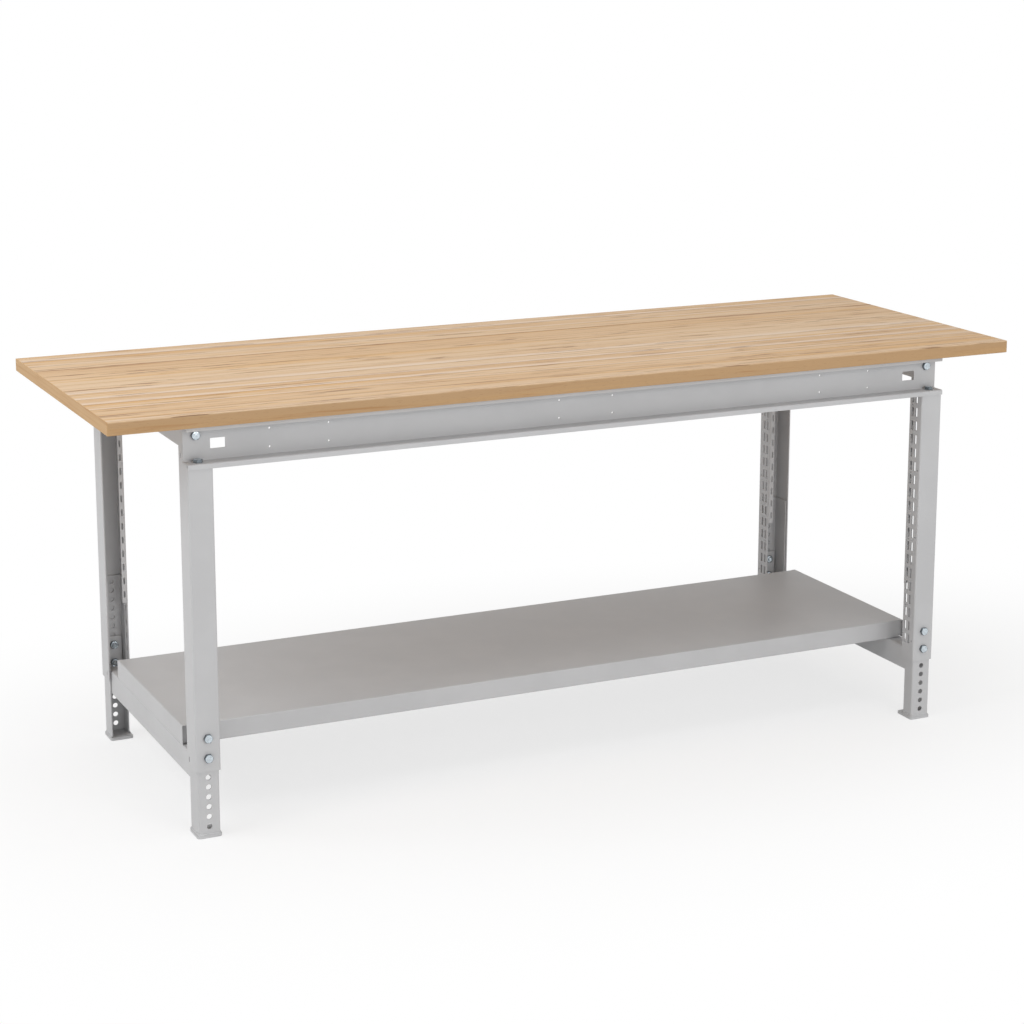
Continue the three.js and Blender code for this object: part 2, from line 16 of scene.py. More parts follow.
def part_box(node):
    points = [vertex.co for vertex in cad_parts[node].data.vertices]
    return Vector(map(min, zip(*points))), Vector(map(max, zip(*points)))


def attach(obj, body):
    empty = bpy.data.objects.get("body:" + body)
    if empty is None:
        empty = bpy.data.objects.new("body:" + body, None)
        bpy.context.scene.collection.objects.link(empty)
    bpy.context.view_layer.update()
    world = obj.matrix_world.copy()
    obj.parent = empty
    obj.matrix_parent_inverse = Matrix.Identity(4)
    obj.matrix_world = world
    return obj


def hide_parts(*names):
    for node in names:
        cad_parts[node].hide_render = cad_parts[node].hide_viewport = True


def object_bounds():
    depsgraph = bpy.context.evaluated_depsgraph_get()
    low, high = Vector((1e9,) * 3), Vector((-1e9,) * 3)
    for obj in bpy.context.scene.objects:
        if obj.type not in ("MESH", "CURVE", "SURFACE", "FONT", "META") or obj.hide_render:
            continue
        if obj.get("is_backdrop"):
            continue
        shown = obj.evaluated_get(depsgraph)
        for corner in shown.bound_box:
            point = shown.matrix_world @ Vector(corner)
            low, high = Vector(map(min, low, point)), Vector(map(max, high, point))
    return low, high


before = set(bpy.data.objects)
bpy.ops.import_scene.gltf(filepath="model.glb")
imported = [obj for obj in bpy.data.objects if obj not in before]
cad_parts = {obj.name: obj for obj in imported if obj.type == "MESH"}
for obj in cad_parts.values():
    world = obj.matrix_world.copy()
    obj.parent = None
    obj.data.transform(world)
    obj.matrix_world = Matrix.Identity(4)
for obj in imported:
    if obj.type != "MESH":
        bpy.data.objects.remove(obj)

scene = bpy.context.scene
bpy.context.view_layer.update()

# %% [markdown]
# ## Four corners from one
# The four corners of the table are mirror images. So each corner piece is modelled once, in a frame
# of its own: the origin is the outer corner of the front left leg on the floor, and +X and +Y lead
# inwards. A mirroring matrix then sets it at each corner. Such a matrix turns a mesh inside out, and
# the faces have to be turned back, which the function that finishes a piece does.

# %% Corners and their matrices
leg_low, leg_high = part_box("leg_front_left")
outer_x = -leg_low.x
outer_y = -leg_low.y
CORNERS = {
    "front_left": (-1, -1),
    "front_right": (1, -1),
    "rear_left": (-1, 1),
    "rear_right": (1, 1),
}


def corner_matrix(to_right, to_rear):
    """Leads from a corner's own frame to the table's."""
    place = Matrix.Translation((to_right * outer_x, to_rear * outer_y, 0))
    return place @ Matrix.Diagonal((-to_right, -to_rear, 1, 1))


print("outer corners at", round(outer_x, 4), "by", round(outer_y, 4))

# %% [markdown]
# ## Sums with sockets
# A procedural finish is a sum: this much grain, that much tone. Nodes are easier to read as sums too,
# so one small class wraps an output socket and lets it be added, multiplied and subtracted. Each sum
# adds a Math node. Everything that isn't a sum comes from the one method `node`, which sets the node
# up before it links it.

# %% The class for shader sums


class Signal:
    """An output socket of a node tree that can be used in sums."""

    def __init__(self, tree, socket):
        self.tree = tree
        self.socket = socket

    def node(self, kind, settings=None, sockets=None, output=0):
        """Adds a node: its settings first, then the values or links of its sockets."""
        made = self.tree.nodes.new(kind)
        for key, value in (settings or {}).items():
            setattr(made, key, value)
        for key, value in (sockets or {}).items():
            if isinstance(value, Signal):
                self.tree.links.new(value.socket, made.inputs[key])
            else:
                made.inputs[key].default_value = value
        return Signal(self.tree, made.outputs[output])

    def maths(self, operation, first, second):
        return self.node("ShaderNodeMath", {"operation": operation}, {0: first, 1: second})

    def __add__(self, other):
        return self.maths("ADD", self, other)

    def __radd__(self, other):
        return self.maths("ADD", other, self)

    def __sub__(self, other):
        return self.maths("SUBTRACT", self, other)

    def __rsub__(self, other):
        return self.maths("SUBTRACT", other, self)

    def __mul__(self, other):
        return self.maths("MULTIPLY", self, other)

    def __rmul__(self, other):
        return self.maths("MULTIPLY", other, self)

    def or_more(self, other):
        return self.maths("MAXIMUM", self, other)

    def between(self, low, high):
        """0 below low, 1 above high, and a smooth step between them."""
        sockets = {"Value": self, "From Min": low, "From Max": high}
        return self.node("ShaderNodeMapRange", {"interpolation_type": "SMOOTHSTEP"}, sockets)

    def mixed(self, low, high):
        """A colour that leads from low to high as this value goes from 0 to 1."""
        sockets = {0: self, 6: low, 7: high}
        return self.node("ShaderNodeMix", {"data_type": "RGBA"}, sockets, output=2)


print("sums with:", Signal.__doc__)

# %% Swatches and empty finishes


def linear(red, green, blue):
    """The colour of a swatch, from the 0 to 255 of a picture to the light that it stands for."""
    return tuple(((value / 255 + 0.055) / 1.055) ** 2.4 for value in (red, green, blue)) + (1.0,)


def new_finish(name):
    """An empty material: returns it, its surface node and the object coordinates."""
    material = bpy.data.materials.new(name)
    material.use_nodes = True
    tree = material.node_tree
    surface = tree.nodes["Principled BSDF"]
    coordinates = tree.nodes.new("ShaderNodeTexCoord").outputs["Object"]
    return material, surface, Signal(tree, coordinates)


def link(value, surface, name):
    value.tree.links.new(value.socket, surface.inputs[name])


def link_bump(height, surface, strength, distance):
    """Lets a height from 0 to 1 raise the surface by up to a distance in metres."""
    sockets = {"Strength": strength, "Distance": distance, "Height": height}
    link(height.node("ShaderNodeBump", None, sockets), surface, "Normal")


def noise(place, per_metre, detail, roughness):
    """Noise with about that many features in a metre."""
    sockets = {"Vector": place, "Scale": per_metre, "Detail": detail, "Roughness": roughness}
    return place.node("ShaderNodeTexNoise", None, sockets)


print("a swatch of 128 is", round(linear(128, 128, 128)[0], 3), "in linear light")

# %% [markdown]
# ## Powder coat
# The frame is sprayed with light grey powder and baked. Such a coat is even in colour, satin, and has
# the faint pimples of orange peel, about a millimetre across. One noise makes the pimples as a bump,
# and a much wider one lets the gloss and the tone drift a little, as a coat of uneven thickness does.

# %% The finish of the steel frame
COAT_GREY = linear(196, 196, 197)
COAT_GREY_THIN = linear(192, 192, 193)
COAT_SHEEN = 0.45
COAT_ROUGHNESS = 0.40
PEEL_PER_METRE = 900
PEEL_ROUGHNESS = 0.06
PEEL_BUMP = (0.12, 0.0002)
DRIFT_PER_METRE = 7
DRIFT_ROUGHNESS = 0.10
DRIFT_RANGE = (0.35, 0.65)


def powder_coat():
    material, surface, place = new_finish("powder_coat")
    peel = noise(place, PEEL_PER_METRE, 2.0, 0.5)
    drift = noise(place, DRIFT_PER_METRE, 3.0, 0.6)
    link(drift.between(*DRIFT_RANGE).mixed(COAT_GREY_THIN, COAT_GREY), surface, "Base Color")
    roughness = COAT_ROUGHNESS + DRIFT_ROUGHNESS * drift + PEEL_ROUGHNESS * peel
    link(roughness, surface, "Roughness")
    link_bump(peel, surface, *PEEL_BUMP)
    surface.inputs["Specular IOR Level"].default_value = COAT_SHEEN
    return material


coat = powder_coat()
print("finish", coat.name, "with", len(coat.node_tree.nodes), "nodes")

# %% [markdown]
# ## Bright zinc
# Bolts, nuts and screws are plated with zinc: a bluish metal with a fairly clear shine. Plating
# leaves faint clouds, so the gloss changes in small patches, and tumbling in the barrel leaves fine
# scratches. The sides and the turned-off corners of a hexagon are painted darker: a painted dark
# reflection that rings the bright face of a head. An attribute of the mesh tells those faces apart.

# %% The finish of the fasteners
ZINC_BLUE = linear(206, 216, 222)
ZINC_DULL = linear(184, 192, 198)
# Painted dark reflection: the dark zinc and the share of it on the sides and turned-off corners
ZINC_PAINTED_RIM = linear(84, 92, 98)
PAINTED_RIM_NAME = "painted_dark_rim"
PAINTED_RIM_SHARE = 0.8
ZINC_ROUGHNESS = 0.16
CLOUDS_PER_METRE = 260
CLOUD_ROUGHNESS = 0.16
CLOUD_RANGE = (0.3, 0.7)
SCRATCHES_PER_METRE = 2400
SCRATCH_BUMP = (0.06, 0.0001)


def bright_zinc():
    material, surface, place = new_finish("bright_zinc")
    cloud = noise(place, CLOUDS_PER_METRE, 3.0, 0.6)
    scratch = noise(place, SCRATCHES_PER_METRE, 2.0, 0.7)
    # Painted dark reflection: faces that the attribute marks are mixed towards a dark zinc
    edge = place.node("ShaderNodeAttribute", {"attribute_name": PAINTED_RIM_NAME}, output="Fac")
    bright = cloud.between(*CLOUD_RANGE).mixed(ZINC_DULL, ZINC_BLUE)
    link((edge * PAINTED_RIM_SHARE).mixed(bright, ZINC_PAINTED_RIM), surface, "Base Color")
    link(ZINC_ROUGHNESS + CLOUD_ROUGHNESS * cloud, surface, "Roughness")
    link_bump(scratch, surface, *SCRATCH_BUMP)
    surface.inputs["Metallic"].default_value = 1.0
    return material


zinc = bright_zinc()
print("finish", zinc.name, "with", len(zinc.node_tree.nodes), "nodes")

# %% [markdown]
# ## Beech staves
# The board is glued from full-length staves of uneven width, each from another tree, so the tone and
# the grain change from stave to stave. The place across the board is counted in staves: its whole
# part is the stave's number, which draws a random tone, and its fraction is the place within the
# stave, which marks the glue lines and the pale sapwood that some staves keep along one edge. The
# grain is noise that is stretched along the length: soft bands, golden heartwood, streaks, and the
# short brown dashes that beech shows. Each stave reads the noise at another place, so no streak runs
# across a glue line. Upright edges are painted a deeper brown than the top: partly the other side of
# the grain, partly painted shade, as the sides face away from the lamp over the board. The two ends
# are closed with a thin strip, whose grain runs across the board. The oil on the wood is matt, so the
# surface is rough and mirrors little of the white room.

# %% Tones and measures of the beech
BEECH_PALE = linear(216, 190, 159)
BEECH_TAN = linear(200, 163, 121)
BEECH_GOLD = linear(206, 164, 110)
BEECH_STREAK = linear(166, 119, 73)
BEECH_DASH = linear(112, 70, 37)
BEECH_GLUE = linear(150, 108, 72)
# Upright faces: their own grain, and painted shade that keeps them darker than the top
BEECH_EDGE_GRAIN_AND_SHADE = linear(182, 149, 112)
BEECH_SAPWOOD = linear(219, 199, 179)
BEECH_STRIP = linear(196, 162, 121)
STAVE_WIDTH = 0.052
STAVE_WANDER = 0.9
WANDER_PER_METRE = 11.0
FIRST_STAVE = 40
STAVE_STRIDES = (37, 23)
GLUE_SHARE = 0.09
SAPWOOD_SHARE = (0.12, 0.42)
SAPWOOD_DRAW = (0.20, 0.60)
STRIP_FROM = (0.9984, 0.9990)
TOP_FACE_DEPTH = (0.0030, 0.0012)
# Length and width of a feature in metres, then the noise's detail and roughness
GRAIN = {
    "bands": (0.90, 0.022, 3.0, 0.55),
    "golden": (1.30, 0.016, 2.0, 0.5),
    "streaks": (0.30, 0.012, 4.0, 0.65),
    "dashes": (0.14, 0.0068, 2.0, 0.5),
    "pores": (0.012, 0.0012, 1.0, 0.5),
}
# Where each kind of grain starts to show, and where it shows in full
GOLDEN_RANGE = (0.50, 0.68)
STREAK_RANGE = (0.52, 0.76)
DASH_RANGE = (0.615, 0.68)
PORE_RANGE = (0.60, 0.80)
FIBRE_RANGE = (0.42, 0.80)
# How strongly each of them covers what lies under it
TONE_START = 0.20
TONE_BY_STAVE = 0.55
TONE_BY_BAND = 1.3
EDGE_BY_BAND = 0.5
GOLDEN_SHARE = 0.30
GOLDEN_TOP_SHARE = 0.45
SAPWOOD_STRENGTH = 0.80
STREAK_SHARE = 0.75
DASH_SHARE = 0.45
DASH_BY_STAVE = 0.45
PORE_SHARE = 0.22
LINE_SHARE = 0.35
LINE_BY_STAVE = 0.6
FIBRE_SHARE = 0.6
FIBRES_PER_METRE = (8, 5, 220)
GRAIN_WAVE = 0.3
GRAIN_BUMP = (0.10, 0.0003)
OIL_SHEEN = 0.12
OIL_ROUGHNESS = 0.48
STREAK_ROUGHNESS = 0.16
board_low, board_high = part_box("worktop_board")
print("about", round((board_high.y - board_low.y) / STAVE_WIDTH), "staves across the board")

# %% The finish of the board


def beech():
    material, surface, place = new_finish("beech")
    split = place.node("ShaderNodeSeparateXYZ", None, {"Vector": place}).socket.node
    along, across, up = (Signal(place.tree, output) for output in split.outputs)
    one_way = {"noise_dimensions": "1D"}
    wander_sockets = {"W": across, "Scale": WANDER_PER_METRE, "Detail": 0.0}
    wander = place.node("ShaderNodeTexNoise", one_way, wander_sockets)
    count = across * (1 / STAVE_WIDTH) + STAVE_WANDER * wander + FIRST_STAVE
    number = count.maths("FLOOR", count, 0)
    within = count - number
    draw = place.node("ShaderNodeTexWhiteNoise", one_way, {"W": number}, output="Color")
    parts = draw.node("ShaderNodeSeparateColor", None, {"Color": draw}).socket.node
    tone, shift, warmth = (Signal(place.tree, output) for output in parts.outputs)

    def stretched(x, y, z, detail, roughness):
        """Slightly wavy noise at a place that is counted in features."""
        spot = place.node("ShaderNodeCombineXYZ", None, {"X": x, "Y": y, "Z": z})
        sockets = {"Vector": spot, "Scale": 1.0, "Detail": detail, "Roughness": roughness}
        return place.node("ShaderNodeTexNoise", None, {**sockets, "Distortion": GRAIN_WAVE})

    def grain(length, width, detail, roughness):
        """Noise with features that long and that wide, read at another place on each stave."""
        x = along * (1 / length) + STAVE_STRIDES[0] * shift
        y = across * (1 / width) + STAVE_STRIDES[1] * tone
        return stretched(x, y, up * (1 / width), detail, roughness)

    bands, golden, streaks, dashes, pores = (grain(*measures) for measures in GRAIN.values())
    top_face = up.between(board_high.z - TOP_FACE_DEPTH[0], board_high.z - TOP_FACE_DEPTH[1])
    darkness = TONE_START + TONE_BY_STAVE * tone + TONE_BY_BAND * (bands - 0.5)
    flat = darkness.mixed(BEECH_PALE, BEECH_TAN)
    # Upright faces take a darker brown than the top: partly their grain, partly painted shade
    upright_grain_and_shade = (bands * EDGE_BY_BAND).mixed(BEECH_EDGE_GRAIN_AND_SHADE, BEECH_TAN)
    body = top_face.mixed(upright_grain_and_shade, flat)
    gold = golden.between(*GOLDEN_RANGE) * (GOLDEN_SHARE + GOLDEN_TOP_SHARE * top_face)
    warm = gold.mixed(body, BEECH_GOLD)
    edge = 1 - within.between(*SAPWOOD_SHARE)
    sapwood = edge * warmth.between(*SAPWOOD_DRAW) * SAPWOOD_STRENGTH
    sapped = sapwood.mixed(warm, BEECH_SAPWOOD)
    streaked = (streaks.between(*STREAK_RANGE) * STREAK_SHARE).mixed(sapped, BEECH_STREAK)
    dash = dashes.between(*DASH_RANGE) * top_face * (DASH_SHARE + DASH_BY_STAVE * shift)
    dashed = dash.mixed(streaked, BEECH_DASH)
    porous = (pores.between(*PORE_RANGE) * PORE_SHARE).mixed(dashed, BEECH_DASH)
    joint = within.between(1 - GLUE_SHARE, 1 - GLUE_SHARE / 4)
    line = joint * (LINE_SHARE + LINE_BY_STAVE * tone)
    staves = line.mixed(porous, BEECH_GLUE)
    fibre_place = [way * rate for way, rate in zip((along, across, up), FIBRES_PER_METRE)]
    fibres = stretched(*fibre_place, 4.0, 0.6)
    strip = (fibres.between(*FIBRE_RANGE) * FIBRE_SHARE).mixed(BEECH_STRIP, BEECH_STREAK)
    ends = along.maths("ABSOLUTE", along, 0).between(*STRIP_FROM)
    link(ends.mixed(staves, strip), surface, "Base Color")
    link(OIL_ROUGHNESS + STREAK_ROUGHNESS * streaks, surface, "Roughness")
    link_bump(streaks * 0.5 + pores * 0.5, surface, *GRAIN_BUMP)
    surface.inputs["Specular IOR Level"].default_value = OIL_SHEEN
    return material


wood = beech()
print("finish", wood.name, "with", len(wood.node_tree.nodes), "nodes")

# %% [markdown]
# ## Tools of the workshop
# Most pieces are sheet steel: a line of corners is drawn, extruded to a ribbon, its folds are rounded
# with a bevel, and the Solidify modifier gives it the thickness of the sheet. A second, small bevel
# eases the raw edges, because a perfectly sharp edge catches no light. Holes are cut with the Boolean
# modifier: all the tools of a piece are one mesh, so there is one cut. A cut can leave points that
# lie on top of each other, so they are merged afterwards. The modifiers are applied at once, so what
# is kept is a plain mesh.

# %% Modifiers that finish a mesh


def finished_mesh(bm, modifiers):
    """The mesh of a bmesh, after a list of modifiers has shaped it."""
    mesh = bpy.data.meshes.new("work")
    bm.to_mesh(mesh)
    bm.free()
    work = bpy.data.objects.new("work", mesh)
    scene.collection.objects.link(work)
    for kind, settings in modifiers:
        modifier = work.modifiers.new(kind.lower(), kind)
        for key, value in settings.items():
            setattr(modifier, key, value)
    graph = bpy.context.evaluated_depsgraph_get()
    done = bpy.data.meshes.new_from_object(work.evaluated_get(graph))
    bpy.data.objects.remove(work)
    bpy.data.meshes.remove(mesh)
    return done


def report(words, mesh):
    print(words, "has", len(mesh.polygons), "faces")


print("meshes before the first piece:", len(bpy.data.meshes))

# %% Folded sheet
FOLD_SEGMENTS = 5
FOLD_ANGLE = 0.5
EDGE_EASE = 0.0004
EASE_SEGMENTS = 2
EASE_ANGLE = math.radians(50)


def round_edges(bm, edges, width, segments):
    """Bevels edges to an arc of that many segments."""
    bmesh.ops.bevel(
        bm,
        geom=edges,
        offset=width,
        offset_type="OFFSET",
        affect="EDGES",
        segments=segments,
        profile=0.5,
        material=-1,
    )


def rounded_shell(bm, sheet, bend, matrix=Matrix()):
    """Rounds the folds of a surface, and gives it the thickness of the sheet."""
    inner = [edge for edge in bm.edges if len(edge.link_faces) == 2]
    folds = [edge for edge in inner if edge.calc_face_angle() > FOLD_ANGLE]
    round_edges(bm, folds, bend + sheet / 2, FOLD_SEGMENTS)
    bmesh.ops.transform(bm, matrix=matrix, verts=bm.verts)
    thicken = {"thickness": sheet, "offset": 0.0, "use_even_offset": True, "use_quality_normals": True}
    ease = {"width": EDGE_EASE, "segments": EASE_SEGMENTS}
    ease.update(limit_method="ANGLE", angle_limit=EASE_ANGLE)
    return finished_mesh(bm, [("SOLIDIFY", thicken), ("BEVEL", ease)])


def folded_edge(bm, edges, move):
    """Extrudes a line of edges, moves the new edges, and returns them."""
    grown = bmesh.ops.extrude_edge_only(bm, edges=edges)["geom"]
    points = [item for item in grown if isinstance(item, bmesh.types.BMVert)]
    bmesh.ops.translate(bm, verts=points, vec=move)
    return [item for item in grown if isinstance(item, bmesh.types.BMEdge)]


def folded_sheet(corners, length, sheet, bend, matrix=Matrix()):
    """A ribbon of sheet through the corners of its middle line, with round folds and eased edges."""
    bm = bmesh.new()
    chain = [bm.verts.new((x, y, 0)) for x, y in corners]
    edges = [bm.edges.new(pair) for pair in zip(chain, chain[1:])]
    folded_edge(bm, edges, (0, 0, length))
    return rounded_shell(bm, sheet, bend, matrix)


print("folds have", FOLD_SEGMENTS, "segments, raw edges are eased by", EDGE_EASE * 1000, "mm")

# %% Cutting and joining
WELD_DISTANCE = 2e-6


def carved(mesh, tools, operation="DIFFERENCE"):
    """The mesh after one Boolean with all the tools of a bmesh."""
    cutter = bpy.data.objects.new("cutter", bpy.data.meshes.new("cutter"))
    tools.to_mesh(cutter.data)
    tools.free()
    scene.collection.objects.link(cutter)
    blank = bmesh.new()
    blank.from_mesh(mesh)
    settings = {"operation": operation, "solver": "EXACT", "object": cutter}
    done = finished_mesh(blank, [("BOOLEAN", settings)])
    bpy.data.objects.remove(cutter)
    clean = bmesh.new()
    clean.from_mesh(done)
    bmesh.ops.remove_doubles(clean, verts=clean.verts, dist=WELD_DISTANCE)
    bmesh.ops.dissolve_degenerate(clean, edges=clean.edges, dist=WELD_DISTANCE)
    clean.to_mesh(done)
    clean.free()
    return done


print("after a cut, points closer than", WELD_DISTANCE * 1e6, "micrometres are merged")

# %% Blocks and bars
CUT_SHEETS = 3
PAST = 0.001
BLOCK_CORNER_SEGMENTS = 4
ROUND_SIDES = 24
SMALL_SIDES = 16
TURN_TO = {
    0: Matrix.Rotation(math.pi / 2, 4, "Y"),
    1: Matrix.Rotation(math.pi / 2, 4, "X"),
    2: Matrix(),
}


def reach_along(edge, axis):
    """How far an edge reaches along an axis."""
    return abs(edge.verts[0].co[axis] - edge.verts[1].co[axis])


def add_block(bm, low, high, axis=None, radius=0.0):
    """Adds a box between two corners; its edges along one axis may be rounded."""
    low, high = Vector(low), Vector(high)
    size = high - low
    matrix = Matrix.Translation((low + high) / 2) @ Matrix.Diagonal((*size, 1))
    made = bmesh.ops.create_cube(bm, size=1.0, matrix=matrix)["verts"]
    if radius:
        own = [edge for edge in bm.edges if edge.verts[0] in made]
        round_edges(
            bm,
            [edge for edge in own if reach_along(edge, axis) > radius / 10],
            radius,
            BLOCK_CORNER_SEGMENTS,
        )


def add_bar(bm, axis, diameter, centre, length, sides=ROUND_SIDES):
    """Adds a round bar along an axis."""
    bmesh.ops.create_cone(
        bm,
        cap_ends=True,
        cap_tris=False,
        segments=sides,
        radius1=diameter / 2,
        radius2=diameter / 2,
        depth=length,
        matrix=Matrix.Translation(centre) @ TURN_TO[axis],
    )


print("a hole has", ROUND_SIDES, "sides, a small one", SMALL_SIDES)

# %% [markdown]
# ## Setting a piece in the table
# A finished piece sits at the origin, unturned, with its place in its mesh, as the packed nodes do.
# It rides on a body, takes its finish, and stands for its node, which is hidden. Smooth shading over
# flat sheet bends the light in the wrong places, so sharp edges are marked and the Weighted Normal
# modifier lets the large faces decide.

# %% The function that sets a piece
SHARP_ANGLE = math.radians(38)
made_pieces = []


def set_piece(name, mesh, material, body, nodes, matrix=Matrix()):
    """Sets a mesh in the table: its place, finish and body, and hides the nodes that it stands for."""
    bm = bmesh.new()
    bm.from_mesh(mesh)
    bmesh.ops.transform(bm, matrix=matrix, verts=bm.verts)
    if matrix.determinant() < 0:
        bmesh.ops.reverse_faces(bm, faces=bm.faces)
    for face in bm.faces:
        face.smooth = True
        face.material_index = 0
    own = bpy.data.meshes.new(name)
    bm.to_mesh(own)
    bm.free()
    own.materials.clear()
    own.materials.append(material)
    own.set_sharp_from_angle(angle=SHARP_ANGLE)
    piece = bpy.data.objects.new(name, own)
    scene.collection.objects.link(piece)
    weighted = piece.modifiers.new("weighted_normal", "WEIGHTED_NORMAL")
    weighted.keep_sharp = True
    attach(piece, body)
    if nodes:
        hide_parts(*nodes)
    made_pieces.append(piece)


# %% [markdown]
# ## The legs
# A leg is a channel of 2.5 mm sheet, open towards the middle of the table, with a lip on its inner
# flange. Two columns of slots for hanging brackets run down the inner flange, and a third one runs
# down the lip. At the top, the web and the front of the flanges stop under the apron's ledge, and the
# web ends in a tab for the ledge bolt. Slots could be modelled as loops in the flange, but with over
# fifty of them one Boolean is simpler.

# %% Measures of a leg
LEG_SHEET = 0.0025
LEG_LIP = 0.012
LEG_INNER_FLANGE = 0.047
LIP_END = 0.303
LIP_TOP_MARGIN = 0.010
INSIDE_BEND = 0.0015
SLOT_PITCH = 0.030
SLOT_SIZE = (0.0072, 0.020)
SLOT_COLUMNS = (0.020, 0.034)
SLOT_FIRST_DROP = 0.092
SLOT_COUNT = 19
SLOT_CORNER = 0.0012
LIP_SLOT_SIZE = (0.004, 0.015)
LIP_SLOT_FIRST_DROP = 0.102
SMALL_HOLE = 0.004
INDEX_STEP = 5
PILOT_EDGE = 0.009
PILOT_DROPS = (0.249, 0.399, 0.634)
TAG_SLOT_SIZE = (0.0035, 0.010)
TAG_SLOT_EDGE = 0.042
TAG_SLOT_TOP_DROP = 0.062
TAG_SLOT_RISE = 0.015
BOLT_HOLE = 0.011
SEAT_GAP = 0.0002

leg_width = leg_high.x - leg_low.x
leg_flange = leg_high.y - leg_low.y
leg_end = leg_low.z
frame_top = leg_high.z
leg_middle = leg_width / 2
leg_fold = LEG_SHEET + INSIDE_BEND
beam_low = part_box("upper_beam_left")[0]
apron_low, apron_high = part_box("apron_front")
web_back = apron_high.y + outer_y
bolt_low, bolt_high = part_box("ledge_bolt_front_left")
ledge_bolt_in = (bolt_low.y + bolt_high.y) / 2 + outer_y
nut_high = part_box("ledge_nut_front_left")[1]
tab_top = nut_high.z + SEAT_GAP + LEG_SHEET
leg_bolt_heights = [
    sum(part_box(f"leg_bolt_{level}_front_left"), Vector()).z / 2 for level in ("lower", "upper")
]
print("leg", round(leg_width, 4), "by", round(leg_flange, 4))
print("leg bolts at", [round(height, 4) for height in leg_bolt_heights])

# %% The leg's folded channel
half_sheet = LEG_SHEET / 2
leg_line = [
    (half_sheet, leg_flange),
    (half_sheet, half_sheet),
    (leg_width - half_sheet, half_sheet),
    (leg_width - half_sheet, LEG_INNER_FLANGE - half_sheet),
    (leg_width - LEG_LIP, LEG_INNER_FLANGE - half_sheet),
]
rise_to_leg = Matrix.Translation((0, 0, leg_end))
leg_channel = folded_sheet(leg_line, frame_top - leg_end, LEG_SHEET, INSIDE_BEND, rise_to_leg)

notches = bmesh.new()
beyond = leg_width + PAST
add_block(notches, (-PAST, -PAST, tab_top), (beyond, web_back + SEAT_GAP, frame_top + PAST))
leg_channel = carved(leg_channel, notches)
notches = bmesh.new()
add_block(notches, (-PAST, -PAST, tab_top - leg_fold), (beyond, leg_fold, frame_top))
lip_from = LEG_INNER_FLANGE - leg_fold
lip_to = LEG_INNER_FLANGE + PAST
lip_top = beam_low.z - LIP_TOP_MARGIN
add_block(notches, (leg_middle, lip_from, leg_end - PAST), (beyond, lip_to, LIP_END))
add_block(notches, (leg_middle, lip_from, lip_top), (beyond, lip_to, frame_top + PAST))
leg_channel = carved(leg_channel, notches)
report("leg channel", leg_channel)

# %% The tab at the leg's upper end
TAB_OVERLAP = 0.0006
LAY_ALONG_X = Matrix(((0, 0, 1, 0), (1, 0, 0, 0), (0, 1, 0, 0), (0, 0, 0, 1)))
tab_line = [
    (half_sheet, tab_top - leg_fold - TAB_OVERLAP),
    (half_sheet, tab_top - half_sheet),
    (web_back - LEG_SHEET, tab_top - half_sheet),
]
tab_place = Matrix.Translation((leg_fold, 0, 0)) @ LAY_ALONG_X
tab_mesh = folded_sheet(tab_line, leg_width - 2 * leg_fold, LEG_SHEET, INSIDE_BEND, tab_place)
tab = bmesh.new()
tab.from_mesh(tab_mesh)
leg_joined = carved(leg_channel, tab, "UNION")
report("leg with its tab", leg_joined)

# %% The holes of a leg
holes = bmesh.new()
inner_flange = leg_width - half_sheet
reach = CUT_SHEETS / 2 * LEG_SHEET


def add_flange_slot(place_x, place_y, place_z, size):
    low = (place_x - reach, place_y - size[0] / 2, place_z - size[1] / 2)
    high = (place_x + reach, place_y + size[0] / 2, place_z + size[1] / 2)
    add_block(holes, low, high, axis=0, radius=SLOT_CORNER)


for index in range(SLOT_COUNT):
    height = frame_top - SLOT_FIRST_DROP - index * SLOT_PITCH
    for column in SLOT_COLUMNS:
        add_flange_slot(inner_flange, column, height, SLOT_SIZE)
    if index % INDEX_STEP == 0:
        between = (inner_flange, SLOT_COLUMNS[1], height - SLOT_PITCH / 2)
        add_bar(holes, 0, SMALL_HOLE, between, 2 * reach, SMALL_SIDES)
for drop in PILOT_DROPS:
    pilot = (inner_flange, PILOT_EDGE, frame_top - drop)
    add_bar(holes, 0, SMALL_HOLE, pilot, 2 * reach, SMALL_SIDES)
for height in (frame_top - TAG_SLOT_TOP_DROP, leg_end + TAG_SLOT_RISE):
    add_flange_slot(half_sheet, TAG_SLOT_EDGE, height, TAG_SLOT_SIZE)
lip_middle = LEG_INNER_FLANGE - half_sheet
lip_slot_in = leg_width - (LEG_SHEET + LEG_LIP) / 2
height = frame_top - LIP_SLOT_FIRST_DROP
while height > LIP_END + LIP_SLOT_SIZE[1]:
    low = (lip_slot_in - LIP_SLOT_SIZE[0] / 2, lip_middle - reach, height - LIP_SLOT_SIZE[1] / 2)
    high = (lip_slot_in + LIP_SLOT_SIZE[0] / 2, lip_middle + reach, height + LIP_SLOT_SIZE[1] / 2)
    add_block(holes, low, high, axis=1, radius=SLOT_CORNER)
    height -= SLOT_PITCH
for height in leg_bolt_heights:
    add_bar(holes, 1, BOLT_HOLE, (leg_middle, half_sheet, height), 2 * reach)
add_bar(holes, 2, BOLT_HOLE, (leg_middle, ledge_bolt_in, tab_top - half_sheet), 2 * reach)
leg_mesh = carved(leg_joined, holes)
report("leg", leg_mesh)

# %% Set the four legs
for corner, ways in CORNERS.items():
    set_piece(f"{corner}_leg", leg_mesh, coat, "frame", [f"leg_{corner}"], corner_matrix(*ways))
print("legs set:", len(CORNERS))

# %% [markdown]
# ## The telescoping feet
# A foot is a smaller channel that slides in the leg, with a hole every 20 mm for the two bolts that
# lock it, welded to a base plate with round corners. The plate starts as a cube and gets two bevels,
# a wide one round its corners and a narrow one along its rims. The weld is a bead that follows the
# channel: a curve with a round section, whose radius swells and shrinks a little as a welder's
# ripples do.

